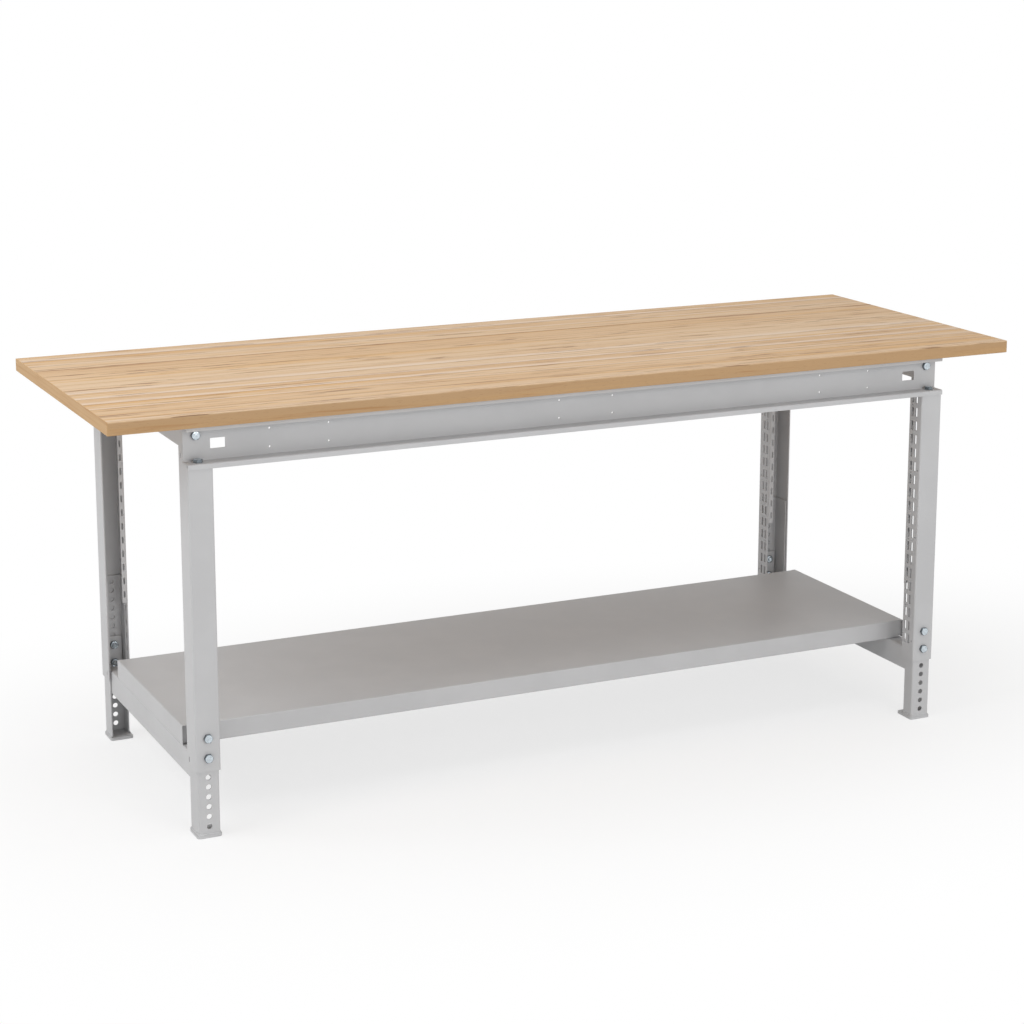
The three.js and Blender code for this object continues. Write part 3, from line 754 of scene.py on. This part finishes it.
# %% The foot's channel
FOOT_SHEET = 0.0025
FOOT_INNER_FLANGE = 0.031
HOLE_PITCH = 0.020
foot_low, foot_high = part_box("foot_front_left")
foot_in = foot_low.y + outer_y
foot_width = foot_high.x - foot_low.x
foot_flange = foot_high.y - foot_low.y
near = foot_in + FOOT_SHEET / 2
far = foot_in + foot_width - FOOT_SHEET / 2
foot_line = [
    (near, foot_in + foot_flange),
    (near, near),
    (far, near),
    (far, foot_in + FOOT_INNER_FLANGE),
]
rise_to_foot = Matrix.Translation((0, 0, foot_low.z))
foot_channel = folded_sheet(foot_line, foot_high.z - foot_low.z, FOOT_SHEET, INSIDE_BEND, rise_to_foot)
holes = bmesh.new()
steps_down = int((leg_bolt_heights[0] - foot_low.z) / HOLE_PITCH)
steps_up = int((foot_high.z - leg_bolt_heights[0]) / HOLE_PITCH)
for step in range(-steps_down, steps_up + 1):
    place = (leg_middle, near, leg_bolt_heights[0] + step * HOLE_PITCH)
    add_bar(holes, 1, BOLT_HOLE, place, CUT_SHEETS * FOOT_SHEET)
foot_mesh = carved(foot_channel, holes)
print("foot holes:", steps_down + steps_up + 1)
report("foot", foot_mesh)

# %% The base plate
PLATE_CORNER = 0.006
PLATE_EASE = 0.0008
PLATE_EASE_SEGMENTS = 2
plate_low, plate_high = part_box("base_plate_front_left")
plate_size = plate_high - plate_low


def base_plate():
    bm = bmesh.new()
    add_block(bm, (0, 0, 0), plate_size, axis=2, radius=PLATE_CORNER)
    rims = [edge for edge in bm.edges if reach_along(edge, 2) < PLATE_EASE]
    round_edges(bm, rims, PLATE_EASE, PLATE_EASE_SEGMENTS)
    return finished_mesh(bm, [])


plate_mesh = base_plate()
report("base plate", plate_mesh)

# %% The weld bead round a foot
BEAD_RADIUS = 0.0021
BEAD_STEP = 0.0012
BEAD_RIPPLE = 0.14
BEAD_RESOLUTION = 2
BEAD_CORNER_SHARE = 0.3
BEAD_RISE_SHARE = 0.4
RIPPLE_STEPS = 3


def weld_bead(corners, height):
    """A bead of weld along a line of corners, at one height."""
    points = []
    for start, end in zip(corners, corners[1:]):
        start, end = Vector(start), Vector(end)
        count = max(2, round((end - start).length / BEAD_STEP))
        points += [start.lerp(end, index / count) for index in range(count)]
    points.append(Vector(corners[-1]))
    curve = bpy.data.curves.new("bead", "CURVE")
    curve.dimensions = "3D"
    curve.bevel_depth = BEAD_RADIUS
    curve.bevel_resolution = BEAD_RESOLUTION
    curve.use_fill_caps = True
    spline = curve.splines.new("POLY")
    spline.points.add(len(points) - 1)
    for index, (point, (x, y)) in enumerate(zip(spline.points, points)):
        point.co = (x, y, height, 1)
        point.radius = 1 + BEAD_RIPPLE * math.cos(2 * math.pi * index / RIPPLE_STEPS)
    holder = bpy.data.objects.new("bead", curve)
    scene.collection.objects.link(holder)
    graph = bpy.context.evaluated_depsgraph_get()
    mesh = bpy.data.meshes.new_from_object(holder.evaluated_get(graph))
    bpy.data.objects.remove(holder)
    return mesh


bead_far = foot_in + foot_width
bead_round = FOOT_SHEET + INSIDE_BEND
bead_cut = BEAD_CORNER_SHARE * bead_round
bead_line = [
    (foot_in, foot_in + foot_flange),
    (foot_in, foot_in + bead_round),
    (foot_in + bead_cut, foot_in + bead_cut),
    (foot_in + bead_round, foot_in),
    (bead_far - bead_round, foot_in),
    (bead_far - bead_cut, foot_in + bead_cut),
    (bead_far, foot_in + bead_round),
    (bead_far, foot_in + FOOT_INNER_FLANGE),
]
bead_mesh = weld_bead(bead_line, plate_high.z + BEAD_RISE_SHARE * BEAD_RADIUS)
report("weld bead", bead_mesh)

# %% Set the four feet
for corner, ways in CORNERS.items():
    body = f"{corner}_foot"
    matrix = corner_matrix(*ways)
    set_piece(f"{corner}_foot_channel", foot_mesh, coat, body, [f"foot_{corner}"], matrix)
    set_piece(f"{corner}_foot_plate", plate_mesh, coat, body, [f"base_plate_{corner}"], matrix)
    set_piece(f"{corner}_foot_weld", bead_mesh, coat, body, [], matrix)
print("feet set:", len(CORNERS))

# %% [markdown]
# ## The aprons
# Along the front and the rear runs a rail that is folded five times: a lip and a flange under the
# board, a web, a ledge and a second lip that hangs over the legs. Its section is drawn once and
# extruded along the table. Small holes, a window near each end and the bolt holes are cut through it
# in one go.

# %% The apron's folded rail
APRON_SHEET = 0.002
APRON_SETBACK = 0.028
APRON_TOP_FLANGE = 0.0265
APRON_TOP_LIP = 0.010
LEDGE_LIP = 0.0105
LIP_OVER_LEG = 0.0003
RAIL_HOLE_PLACES = (0.060, 0.553, 0.673)
RAIL_HOLE_DROPS = (0.022, 0.058)
WINDOW_SIZE = (0.030, 0.020)
WINDOW_FROM_LEG = 0.004
WINDOW_DROP = 0.031
WINDOW_CORNER = 0.0012
SCREW_HOLE = 0.006

half_apron = APRON_SHEET / 2
apron_length = apron_high.x - apron_low.x
ledge_top = apron_low.z + LEDGE_LIP
top_lip_in = APRON_SETBACK - APRON_TOP_FLANGE + half_apron
web_in = APRON_SETBACK + half_apron
apron_line = [
    (top_lip_in, frame_top - APRON_TOP_LIP),
    (top_lip_in, frame_top - half_apron),
    (web_in, frame_top - half_apron),
    (web_in, ledge_top - half_apron),
    (-LIP_OVER_LEG - half_apron, ledge_top - half_apron),
    (-LIP_OVER_LEG - half_apron, apron_low.z),
]
apron_place = Matrix.Translation((-apron_length / 2, 0, 0)) @ LAY_ALONG_X
apron_rail = folded_sheet(apron_line, apron_length, APRON_SHEET, INSIDE_BEND, apron_place)
report("apron rail", apron_rail)

# %% The holes of an apron
web_bolt_low, web_bolt_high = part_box("apron_bolt_front_left")
web_bolt = (web_bolt_low + web_bolt_high) / 2
front_screws = [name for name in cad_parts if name.startswith("board_screw_front")]
screw_spots = [sum(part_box(name), Vector()) / 2 for name in front_screws]
holes = bmesh.new()
through = CUT_SHEETS * APRON_SHEET
window_middle = outer_x - leg_width - WINDOW_FROM_LEG - WINDOW_SIZE[0] / 2
window_height = frame_top - WINDOW_DROP - WINDOW_SIZE[1] / 2
for way in (-1, 1):
    for place in RAIL_HOLE_PLACES:
        for drop in RAIL_HOLE_DROPS:
            spot = (way * place, web_in, frame_top - drop)
            add_bar(holes, 1, SMALL_HOLE, spot, through, SMALL_SIDES)
    middle = Vector((way * window_middle, web_in, window_height))
    reach_out = Vector((WINDOW_SIZE[0] / 2, through / 2, WINDOW_SIZE[1] / 2))
    add_block(holes, middle - reach_out, middle + reach_out, axis=1, radius=WINDOW_CORNER)
    bolt_x = way * abs(web_bolt.x)
    add_bar(holes, 1, BOLT_HOLE, (bolt_x, web_in, web_bolt.z), through)
    add_bar(holes, 2, BOLT_HOLE, (bolt_x, ledge_bolt_in, ledge_top - half_apron), through)
for spot in screw_spots:
    in_flange = (spot.x, spot.y + outer_y, frame_top - half_apron)
    add_bar(holes, 2, SCREW_HOLE, in_flange, through, SMALL_SIDES)
apron_mesh = carved(apron_rail, holes)
report("apron", apron_mesh)

# %% Set the two aprons
for end, to_rear in (("front", -1), ("rear", 1)):
    place = Matrix.Translation((0, to_rear * outer_y, 0)) @ Matrix.Diagonal((1, -to_rear, 1, 1))
    set_piece(f"{end}_apron_rail", apron_mesh, coat, "frame", [f"apron_{end}"], place)
print("aprons set: 2")

# %% [markdown]
# ## The cross-beams
# At each end, an upper beam joins the two aprons and a lower beam joins the two legs and carries the
# shelf. Both are channels, open below, with a thick end plate welded into each end. The lower beam
# has a notch at each end, so that a spanner reaches the nut, and its end plate stands up beside the
# notch for the second bolt. It stops above the end of the leg, so the first free hole of a foot looks
# into the open channel.

# %% A beam from its box
BEAM_SHEET = 0.002
BEAM_HEIGHT = 0.050
END_PLATE = 0.004
END_PLATE_INSET = 0.0015
END_PLATE_CORNER = 0.0015
PLATE_OVERLAP = 0.0005
NOTCH_HALF = 0.0122
NOTCH_REACH = 0.014
NOTCH_CORNER = 0.002
LAY_ALONG_Y = Matrix(((1, 0, 0, 0), (0, 0, -1, 0), (0, 1, 0, 0), (0, 0, 0, 1)))


def beam(node, top, bolt_heights, notch_depth):
    """The mesh of a cross-beam, in the table's own frame."""
    low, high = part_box(node)
    half = BEAM_SHEET / 2
    length = high.y - low.y - 2 * (END_PLATE - PLATE_OVERLAP)
    middle = (low.x + high.x) / 2
    line = [
        (low.x + half, top - BEAM_HEIGHT),
        (low.x + half, top - half),
        (high.x - half, top - half),
        (high.x - half, top - BEAM_HEIGHT),
    ]
    place = Matrix.Translation((0, length / 2, 0)) @ LAY_ALONG_Y
    mesh = folded_sheet(line, length, BEAM_SHEET, INSIDE_BEND, place)
    if notch_depth:
        notch = bmesh.new()
        inner = high.y - END_PLATE - NOTCH_REACH
        for way in (-1, 1):
            ends = sorted((way * inner, way * high.y))
            notch_low = (middle - NOTCH_HALF, ends[0], top - notch_depth)
            notch_high = (middle + NOTCH_HALF, ends[1], top + PAST)
            add_block(notch, notch_low, notch_high, axis=2, radius=NOTCH_CORNER)
        mesh = carved(mesh, notch)
    plates = bmesh.new()
    plate_top = max(high.z, top) - (0 if notch_depth else END_PLATE_INSET)
    plate_bottom = leg_end + PAST if notch_depth else top - BEAM_HEIGHT + END_PLATE_INSET
    for way in (-1, 1):
        ends = sorted((way * (high.y - END_PLATE), way * high.y))
        inset_low = (low.x + END_PLATE_INSET, ends[0], plate_bottom)
        inset_high = (high.x - END_PLATE_INSET, ends[1], plate_top)
        add_block(plates, inset_low, inset_high, axis=1, radius=END_PLATE_CORNER)
    mesh = carved(mesh, plates, "UNION")
    holes = bmesh.new()
    for way in (-1, 1):
        for height in bolt_heights:
            spot = (middle, way * (high.y - END_PLATE / 2), height)
            add_bar(holes, 1, BOLT_HOLE, spot, CUT_SHEETS * END_PLATE)
    return carved(mesh, holes)


shelf_low, shelf_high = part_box("shelf")
lower_beam_top = shelf_low.z - SEAT_GAP
print("beams: upper top", round(frame_top, 4), "lower top", round(lower_beam_top, 4))

# %% Set the four beams
for side in ("left", "right"):
    upper = beam(f"upper_beam_{side}", frame_top, [web_bolt.z], 0)
    lower = beam(f"lower_beam_{side}", lower_beam_top, leg_bolt_heights, BEAM_HEIGHT / 2)
    set_piece(f"{side}_upper_crossbeam", upper, coat, "frame", [f"upper_beam_{side}"])
    set_piece(f"{side}_lower_crossbeam", lower, coat, "frame", [f"lower_beam_{side}"])
    report(f"{side} lower beam", lower)

# %% [markdown]
# ## The shelf
# The shelf is a tray turned upside down. One flat face is drawn with a narrow relief cut near each
# corner, then its edges are extruded down for the skirts, and the long skirts once more inwards for
# the returns. The long skirts stop at the relief cuts, which leaves the open corners that folded
# trays have. Rounding the folds and thickening come last. Behind each open corner a small plate is
# welded in, which keeps the skirts square.

# %% Fold the shelf
SHELF_SHEET = 0.0015
SHELF_RETURN = 0.015
SHELF_CORNER_GAP = 0.011
RELIEF_DEPTH = 0.0028
RELIEF_WIDTH = 0.0008


def shelf():
    """The folded tray, in the table's own frame."""
    half = SHELF_SHEET / 2
    end = shelf_high.x - half
    front = shelf_high.y - half
    top = shelf_high.z - half
    skirt = top - shelf_low.z
    bm = bmesh.new()
    shoulder = end - SHELF_CORNER_GAP
    inside = shoulder + RELIEF_WIDTH
    slot = front - RELIEF_DEPTH
    quarter = [(shoulder, front), (shoulder, slot), (inside, slot)]
    quarter += [(inside, shelf_high.y), (end, shelf_high.y)]
    outline = quarter + [(x, -y) for x, y in reversed(quarter)]
    outline += [(-x, -y) for x, y in quarter] + [(-x, y) for x, y in reversed(quarter)]
    bm.faces.new([bm.verts.new((x, y, top)) for x, y in outline])
    bm.normal_update()

    def borders(axis, value):
        """The free edges that lie at one place along an axis."""
        free = [edge for edge in bm.edges if len(edge.link_faces) == 1]
        return [e for e in free if all(abs(v.co[axis] - value) < half / 10 for v in e.verts)]

    for way in (-1, 1):
        folded_edge(bm, borders(0, way * end), (0, 0, -skirt))
        lower = folded_edge(bm, borders(1, way * front), (0, 0, half - skirt))
        folded_edge(bm, lower, (0, -way * (SHELF_RETURN - half), 0))
    bmesh.ops.recalc_face_normals(bm, faces=bm.faces)
    return rounded_shell(bm, SHELF_SHEET, INSIDE_BEND)


tray_mesh = shelf()
report("tray", tray_mesh)

# %% Close the shelf's corners
GUSSET_WIDTH = 0.028
GUSSET_SETBACK = 0.0045
GUSSET_RISE = 0.003
GUSSET_OVERLAP = 0.0003


def with_gussets(mesh):
    """Adds the small plate that closes each open corner from behind."""
    plates = bmesh.new()
    outside = shelf_high.x - SHELF_SHEET + GUSSET_OVERLAP
    behind = shelf_high.y - GUSSET_SETBACK
    top = shelf_high.z - SHELF_SHEET + GUSSET_OVERLAP
    for to_right, to_rear in ((-1, -1), (-1, 1), (1, -1), (1, 1)):
        xs = sorted((to_right * outside, to_right * (outside - GUSSET_WIDTH)))
        ys = sorted((to_rear * behind, to_rear * (behind - SHELF_SHEET)))
        add_block(plates, (xs[0], ys[0], shelf_low.z + GUSSET_RISE), (xs[1], ys[1], top))
    return carved(mesh, plates, "UNION")


shelf_mesh = with_gussets(tray_mesh)
set_piece("lower_shelf", shelf_mesh, coat, "frame", ["shelf"])
report("shelf", shelf_mesh)

# %% [markdown]
# ## The board
# The board is a slab with eased edges. A cube with one bevel is all the shape it has; its finish does
# the rest.

# %% Set the board
BOARD_EASE = 0.0012
BOARD_EASE_SEGMENTS = 3
PILOT_DEPTH = 0.019


def board():
    """The slab, with the screws' pilot holes in its underside."""
    bm = bmesh.new()
    add_block(bm, board_low, board_high)
    round_edges(bm, bm.edges[:], BOARD_EASE, BOARD_EASE_SEGMENTS)
    holes = bmesh.new()
    for way in (-1, 1):
        for spot in screw_spots:
            mouth = (spot.x, way * spot.y, board_low.z)
            add_bar(holes, 2, SCREW_HOLE, mouth, 2 * PILOT_DEPTH, SMALL_SIDES)
    return carved(finished_mesh(bm, []), holes)


board_mesh = board()
set_piece("beech_board", board_mesh, wood, "frame", ["worktop_board"])
report("board", board_mesh)

# %% [markdown]
# ## Bolts, nuts and screws
# A hexagon head is a six-sided prism whose corners are turned off by a cone, which leaves the curved
# edges that everyone knows from bolts. So the prism is intersected with a turned shape. The thread is
# a real helix: the points of a finely divided bar move in and out with the turn angle and the height.
# All lengths come from the boxes of the packed nodes.

# %% A turned profile and a hexagon
HEX_FLATS = 0.016
HEAD_HEIGHT = 0.0064
FLAT_ENOUGH = 0.95
HEX_STEPS = 36
CROWN_INSET = 0.0004
CROWN_ANGLE = math.radians(30)
hex_corner = HEX_FLATS / math.sqrt(3)


def turned(bm, profile, steps):
    """Adds the solid that a profile of (radius, height) points makes when it turns about Z."""
    chain = [bm.verts.new((radius, 0, height)) for radius, height in profile]
    edges = [bm.edges.new(pair) for pair in zip(chain, chain[1:])]
    bmesh.ops.spin(
        bm,
        geom=chain + edges,
        cent=(0, 0, 0),
        axis=(0, 0, 1),
        angle=2 * math.pi,
        steps=steps,
        use_merge=True,
    )
    bmesh.ops.remove_doubles(bm, verts=bm.verts, dist=WELD_DISTANCE)
    bmesh.ops.recalc_face_normals(bm, faces=bm.faces)


def hexagon(low, high, chamfer_low, chamfer_high):
    """A hexagon between two heights, with its corners turned off at one end or both."""
    prism = bmesh.new()
    bmesh.ops.create_cone(
        prism,
        cap_ends=True,
        cap_tris=False,
        segments=6,
        radius1=hex_corner,
        radius2=hex_corner,
        depth=high - low,
        matrix=Matrix.Translation((0, 0, (low + high) / 2)) @ Matrix.Rotation(math.pi / 6, 4, "Z"),
    )
    crown = HEX_FLATS / 2 - CROWN_INSET
    outside = hex_corner + PAST
    slope = (outside - crown) * math.tan(CROWN_ANGLE)
    profile = [(0, low)]
    profile += [(crown, low), (outside, low + slope)] if chamfer_low else [(outside, low)]
    profile += [(outside, high - slope), (crown, high)] if chamfer_high else [(outside, high)]
    profile += [(0, high)]
    cone = bmesh.new()
    turned(cone, profile, HEX_STEPS)
    mesh = carved(finished_mesh(prism, []), cone, "INTERSECT")
    # Painted dark reflection: 1 on the sides and turned-off corners, 0 on the flat faces
    shade = mesh.attributes.new(PAINTED_RIM_NAME, "FLOAT", "FACE")
    for face, value in zip(mesh.polygons, shade.data):
        value.value = 0.0 if abs(face.normal.z) > FLAT_ENOUGH else 1.0
    return mesh


head_mesh = hexagon(0, HEAD_HEIGHT, False, True)
report("bolt head", head_mesh)

# %% A bolt with a helical thread
BOLT_DIAMETER = 0.010
THREAD_PITCH = 0.0015
THREAD_DEPTH = 0.0007
THREAD_SIDES = 20
RINGS_PER_PITCH = 6


def threaded_bar(bm, length):
    """Adds a bar from -length up to the head, with a thread from its tip to just under the head."""
    smooth = BOLT_DIAMETER / 2
    rings = round(length / THREAD_PITCH * RINGS_PER_PITCH)
    bmesh.ops.create_cone(
        bm,
        cap_ends=True,
        cap_tris=False,
        segments=THREAD_SIDES,
        radius1=smooth,
        radius2=smooth,
        depth=length,
        matrix=Matrix.Translation((0, 0, -length / 2)),
    )
    sides = [edge for edge in bm.edges if reach_along(edge, 2) > length / 2]
    bmesh.ops.subdivide_edges(bm, edges=sides, cuts=rings - 1, use_grid_fill=True)
    tip = -length
    for vert in bm.verts:
        x, y, z = vert.co
        if abs(math.hypot(x, y) - smooth) > smooth / 100 or z > -PAST:
            continue
        phase = (z / THREAD_PITCH - math.atan2(y, x) / (2 * math.pi)) % 1.0
        depth = THREAD_DEPTH * abs(2 * phase - 1)
        ending = min(1.0, (z - tip) / THREAD_PITCH)
        radius = smooth - depth - (1 - ending) * THREAD_DEPTH
        vert.co = (x * radius / smooth, y * radius / smooth, z)


def bolt(length):
    """A head on a threaded bar of that length, with the head's underside at height 0."""
    bm = bmesh.new()
    threaded_bar(bm, length)
    shank = finished_mesh(bm, [])
    joined = bmesh.new()
    joined.from_mesh(head_mesh)
    joined.from_mesh(shank)
    return finished_mesh(joined, [])


print("a thread has", RINGS_PER_PITCH, "rings of", THREAD_SIDES, "points in each turn")

# %% Set the bolts


def fastener_way(node):
    """The axis that a bolt or nut lies along, and the way that its head faces."""
    if node.startswith("ledge"):
        return 2, 1
    return 1, -1 if "front" in node else 1


def fastener_place(node):
    """Leads from a fastener's own frame, with its head's top up along +Z, to its place in the table."""
    axis, outward = fastener_way(node)
    low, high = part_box(node)
    point = (low + high) / 2
    point[axis] = high[axis] if outward > 0 else low[axis]
    up = Vector((0, 0, 0))
    up[axis] = outward
    turn = Vector((0, 0, 1)).rotation_difference(up).to_matrix().to_4x4()
    return Matrix.Translation(point) @ turn


def set_bolt(node):
    axis = fastener_way(node)[0]
    low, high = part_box(node)
    down = Matrix.Translation((0, 0, -HEAD_HEIGHT))
    mesh = bolt(high[axis] - low[axis] - HEAD_HEIGHT)
    name = node.replace("bolt", "hex_bolt")
    set_piece(name, mesh, zinc, "frame", [node], fastener_place(node) @ down)


bolt_nodes = [node for node in sorted(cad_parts) if "bolt" in node]
for node in bolt_nodes:
    set_bolt(node)
print("bolts set:", len(bolt_nodes))

# %% The nuts
NUT_BORE = 0.0104


def nut():
    """A nut with its upper face at height 0."""
    low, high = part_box("ledge_nut_front_left")
    height = high.z - low.z
    blank = hexagon(-height, 0, True, True)
    bore = bmesh.new()
    add_bar(bore, 2, NUT_BORE, (0, 0, -height / 2), 2 * height)
    return carved(blank, bore)


nut_mesh = nut()
nut_nodes = [node for node in sorted(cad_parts) if "nut" in node]
for node in nut_nodes:
    name = node.replace("nut", "hex_nut")
    set_piece(name, nut_mesh, zinc, "frame", [node], fastener_place(node))
print("nuts set:", len(nut_nodes))

# %% The wood screws under the board
SCREW_DIAMETER = 0.005
SCREW_HEAD_DIAMETER = 0.011
SCREW_HEAD_HEIGHT = 0.003
SCREW_RIM = 0.0006
SCREW_STEPS = 28
DOME_STEPS = 6
SCREW_SLOT = (0.0062, 0.0012, 0.0014)


def wood_screw():
    """A screw that stands on its domed head, with its point up and a cross cut into the dome."""
    low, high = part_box("board_screw_front_left_1")
    length = high.z - low.z
    rim = SCREW_HEAD_DIAMETER / 2
    shank = SCREW_DIAMETER / 2
    dome = SCREW_HEAD_HEIGHT - SCREW_RIM
    profile = [(0, 0)]
    for step in range(1, DOME_STEPS + 1):
        turn = step / DOME_STEPS * math.pi / 2
        profile.append((rim * math.sin(turn), dome * (1 - math.cos(turn))))
    profile += [(rim, SCREW_HEAD_HEIGHT), (shank, SCREW_HEAD_HEIGHT)]
    profile += [(shank, length - 2 * shank), (0, length)]
    bm = bmesh.new()
    turned(bm, profile, SCREW_STEPS)
    mesh = finished_mesh(bm, [])
    wide, narrow, deep = SCREW_SLOT
    for x, y in ((wide / 2, narrow / 2), (narrow / 2, wide / 2)):
        slot = bmesh.new()
        add_block(slot, (-x, -y, -PAST), (x, y, deep))
        mesh = carved(mesh, slot)
    return mesh


screw_mesh = wood_screw()
screw_nodes = [node for node in sorted(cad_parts) if node.startswith("board_screw")]
for node in screw_nodes:
    low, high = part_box(node)
    place = Matrix.Translation(((low.x + high.x) / 2, (low.y + high.y) / 2, low.z))
    name = node.replace("board_screw", "pan_screw")
    set_piece(name, screw_mesh, zinc, "frame", [node], place)
print("screws set:", len(screw_nodes))

# %% [markdown]
# ## The room
# The photograph has a white ground. The floor and the world are white where the camera, a reflection
# or a clear material looks at them, and give a plain, even light otherwise. Near the table, the floor
# mixes that white with a matt surface, so the shadow still lies on it; farther out the white takes
# over, and no horizon shows.

# %% The floor
WHITE = (1.0, 1.0, 1.0, 1.0)
FLOOR_SIZE = 60.0
FLOOR_WHITE = (0.94, 0.94, 0.94, 1.0)
FLOOR_ROUGHNESS = 0.9
SHADOW_SHARE = 0.30
SHADOW_REACH = (0.5, 1.25)
SHADOW_STRETCH = (0.6, 1.0, 1.0)


def seen_directly(tree):
    """1 for rays of the camera, of reflections and through clear materials, and 0 for other light."""
    rays = tree.nodes.new("ShaderNodeLightPath")
    names = ("Is Camera Ray", "Is Glossy Ray", "Is Transmission Ray")
    camera_ray, glossy, clear = (Signal(tree, rays.outputs[name]) for name in names)
    return camera_ray.or_more(glossy).or_more(clear)


def pale_floor():
    material = bpy.data.materials.new("pale_floor")
    material.use_nodes = True
    tree = material.node_tree
    surface = tree.nodes["Principled BSDF"]
    surface.inputs["Base Color"].default_value = FLOOR_WHITE
    surface.inputs["Roughness"].default_value = FLOOR_ROUGHNESS
    surface.inputs["Specular IOR Level"].default_value = 0.0
    direct = seen_directly(tree)
    spot = Signal(tree, tree.nodes.new("ShaderNodeTexCoord").outputs["Object"])
    oval = spot.node("ShaderNodeVectorMath", {"operation": "MULTIPLY"}, {0: spot, 1: SHADOW_STRETCH})
    away = spot.node("ShaderNodeVectorMath", {"operation": "LENGTH"}, {0: oval}, output="Value")
    share = SHADOW_SHARE * (1 - away.between(*SHADOW_REACH))
    glow = direct.node("ShaderNodeEmission", None, {"Color": WHITE, "Strength": 1.0})
    sockets = {0: direct * (1 - share), 1: Signal(tree, surface.outputs[0]), 2: glow}
    mixed = direct.node("ShaderNodeMixShader", None, sockets)
    tree.links.new(mixed.socket, tree.nodes["Material Output"].inputs["Surface"])
    return material


ground = bmesh.new()
bmesh.ops.create_grid(ground, x_segments=1, y_segments=1, size=FLOOR_SIZE / 2)
floor = bpy.data.objects.new("floor", finished_mesh(ground, []))
floor.data.materials.append(pale_floor())
scene.collection.objects.link(floor)
floor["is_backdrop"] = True
print("floor", FLOOR_SIZE, "m wide, shadow share", SHADOW_SHARE)

# %% The world
AMBIENT = 0.48
world = bpy.data.worlds.new("white_room")
world.use_nodes = True
scene.world = world
room = world.node_tree
seen = seen_directly(room)
white = seen.node("ShaderNodeBackground", None, {"Color": WHITE, "Strength": 1.0})
even = seen.node("ShaderNodeBackground", None, {"Color": WHITE, "Strength": AMBIENT})
both = seen.node("ShaderNodeMixShader", None, {0: seen, 1: even, 2: white})
room.links.new(both.socket, room.nodes["World Output"].inputs["Surface"])
scene.view_settings.view_transform = "Standard"
print("ambient light", AMBIENT)

# %% [markdown]
# ## Lamps and camera
# Three large, soft lamps: one overhead for the board, one from the left, where the faces are palest,
# and one from the front for the rails and the shelf's edge. They are large, so no shadow has a hard
# edge, and the board's shade over the shelf fades from front to rear. The camera stands where the
# photograph was taken from: a lens of about 84 mm, five metres away, well above the board.

# %% Lamps
# Place, target and width of each lamp in metres, and its power in watts
LAMPS = {
    "overhead": ((0.0, -0.3, 3.4), (0.0, 0.0, 0.8), 3.0, 28.0),
    "left": ((-3.1, -0.1, 2.6), (-0.6, 0.0, 0.3), 2.2, 46.0),
    "front": ((0.7, -5.2, 2.1), (0.1, 0.0, 0.45), 3.0, 80.0),
}
for name, (place, target, size, power) in LAMPS.items():
    lamp = bpy.data.lights.new(name, "AREA")
    lamp.shape = "SQUARE"
    lamp.size = size
    lamp.energy = power
    holder = bpy.data.objects.new(name, lamp)
    holder.location = place
    holder.rotation_euler = (Vector(target) - Vector(place)).to_track_quat("-Z", "Y").to_euler()
    scene.collection.objects.link(holder)
print("lamps", sorted(LAMPS))

# %% Camera
CAMERA_PLACE = (-2.120, -4.503, 1.756)
CAMERA_DOWN = math.radians(11.88)
CAMERA_TURN = math.radians(24.98)
CAMERA_LENS = 83.66
CAMERA_SENSOR = 36.0
CAMERA_SHIFT = -0.10
view = bpy.data.cameras.new("camera")
view.sensor_width = CAMERA_SENSOR
view.lens = CAMERA_LENS
view.shift_y = CAMERA_SHIFT
camera = bpy.data.objects.new("camera", view)
camera.location = CAMERA_PLACE
camera.rotation_euler = (math.pi / 2 - CAMERA_DOWN, 0.0, -CAMERA_TURN)
scene.collection.objects.link(camera)
scene.camera = camera
print("camera lens", view.lens)

# %% [markdown]
# ## The box of the dressed table
# The box of all the pieces that are shown is printed, with the number of pieces.

# %% Sizes and the end
low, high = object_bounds()
print("pieces", len(made_pieces), "visual box", [round(value, 4) for value in high - low])
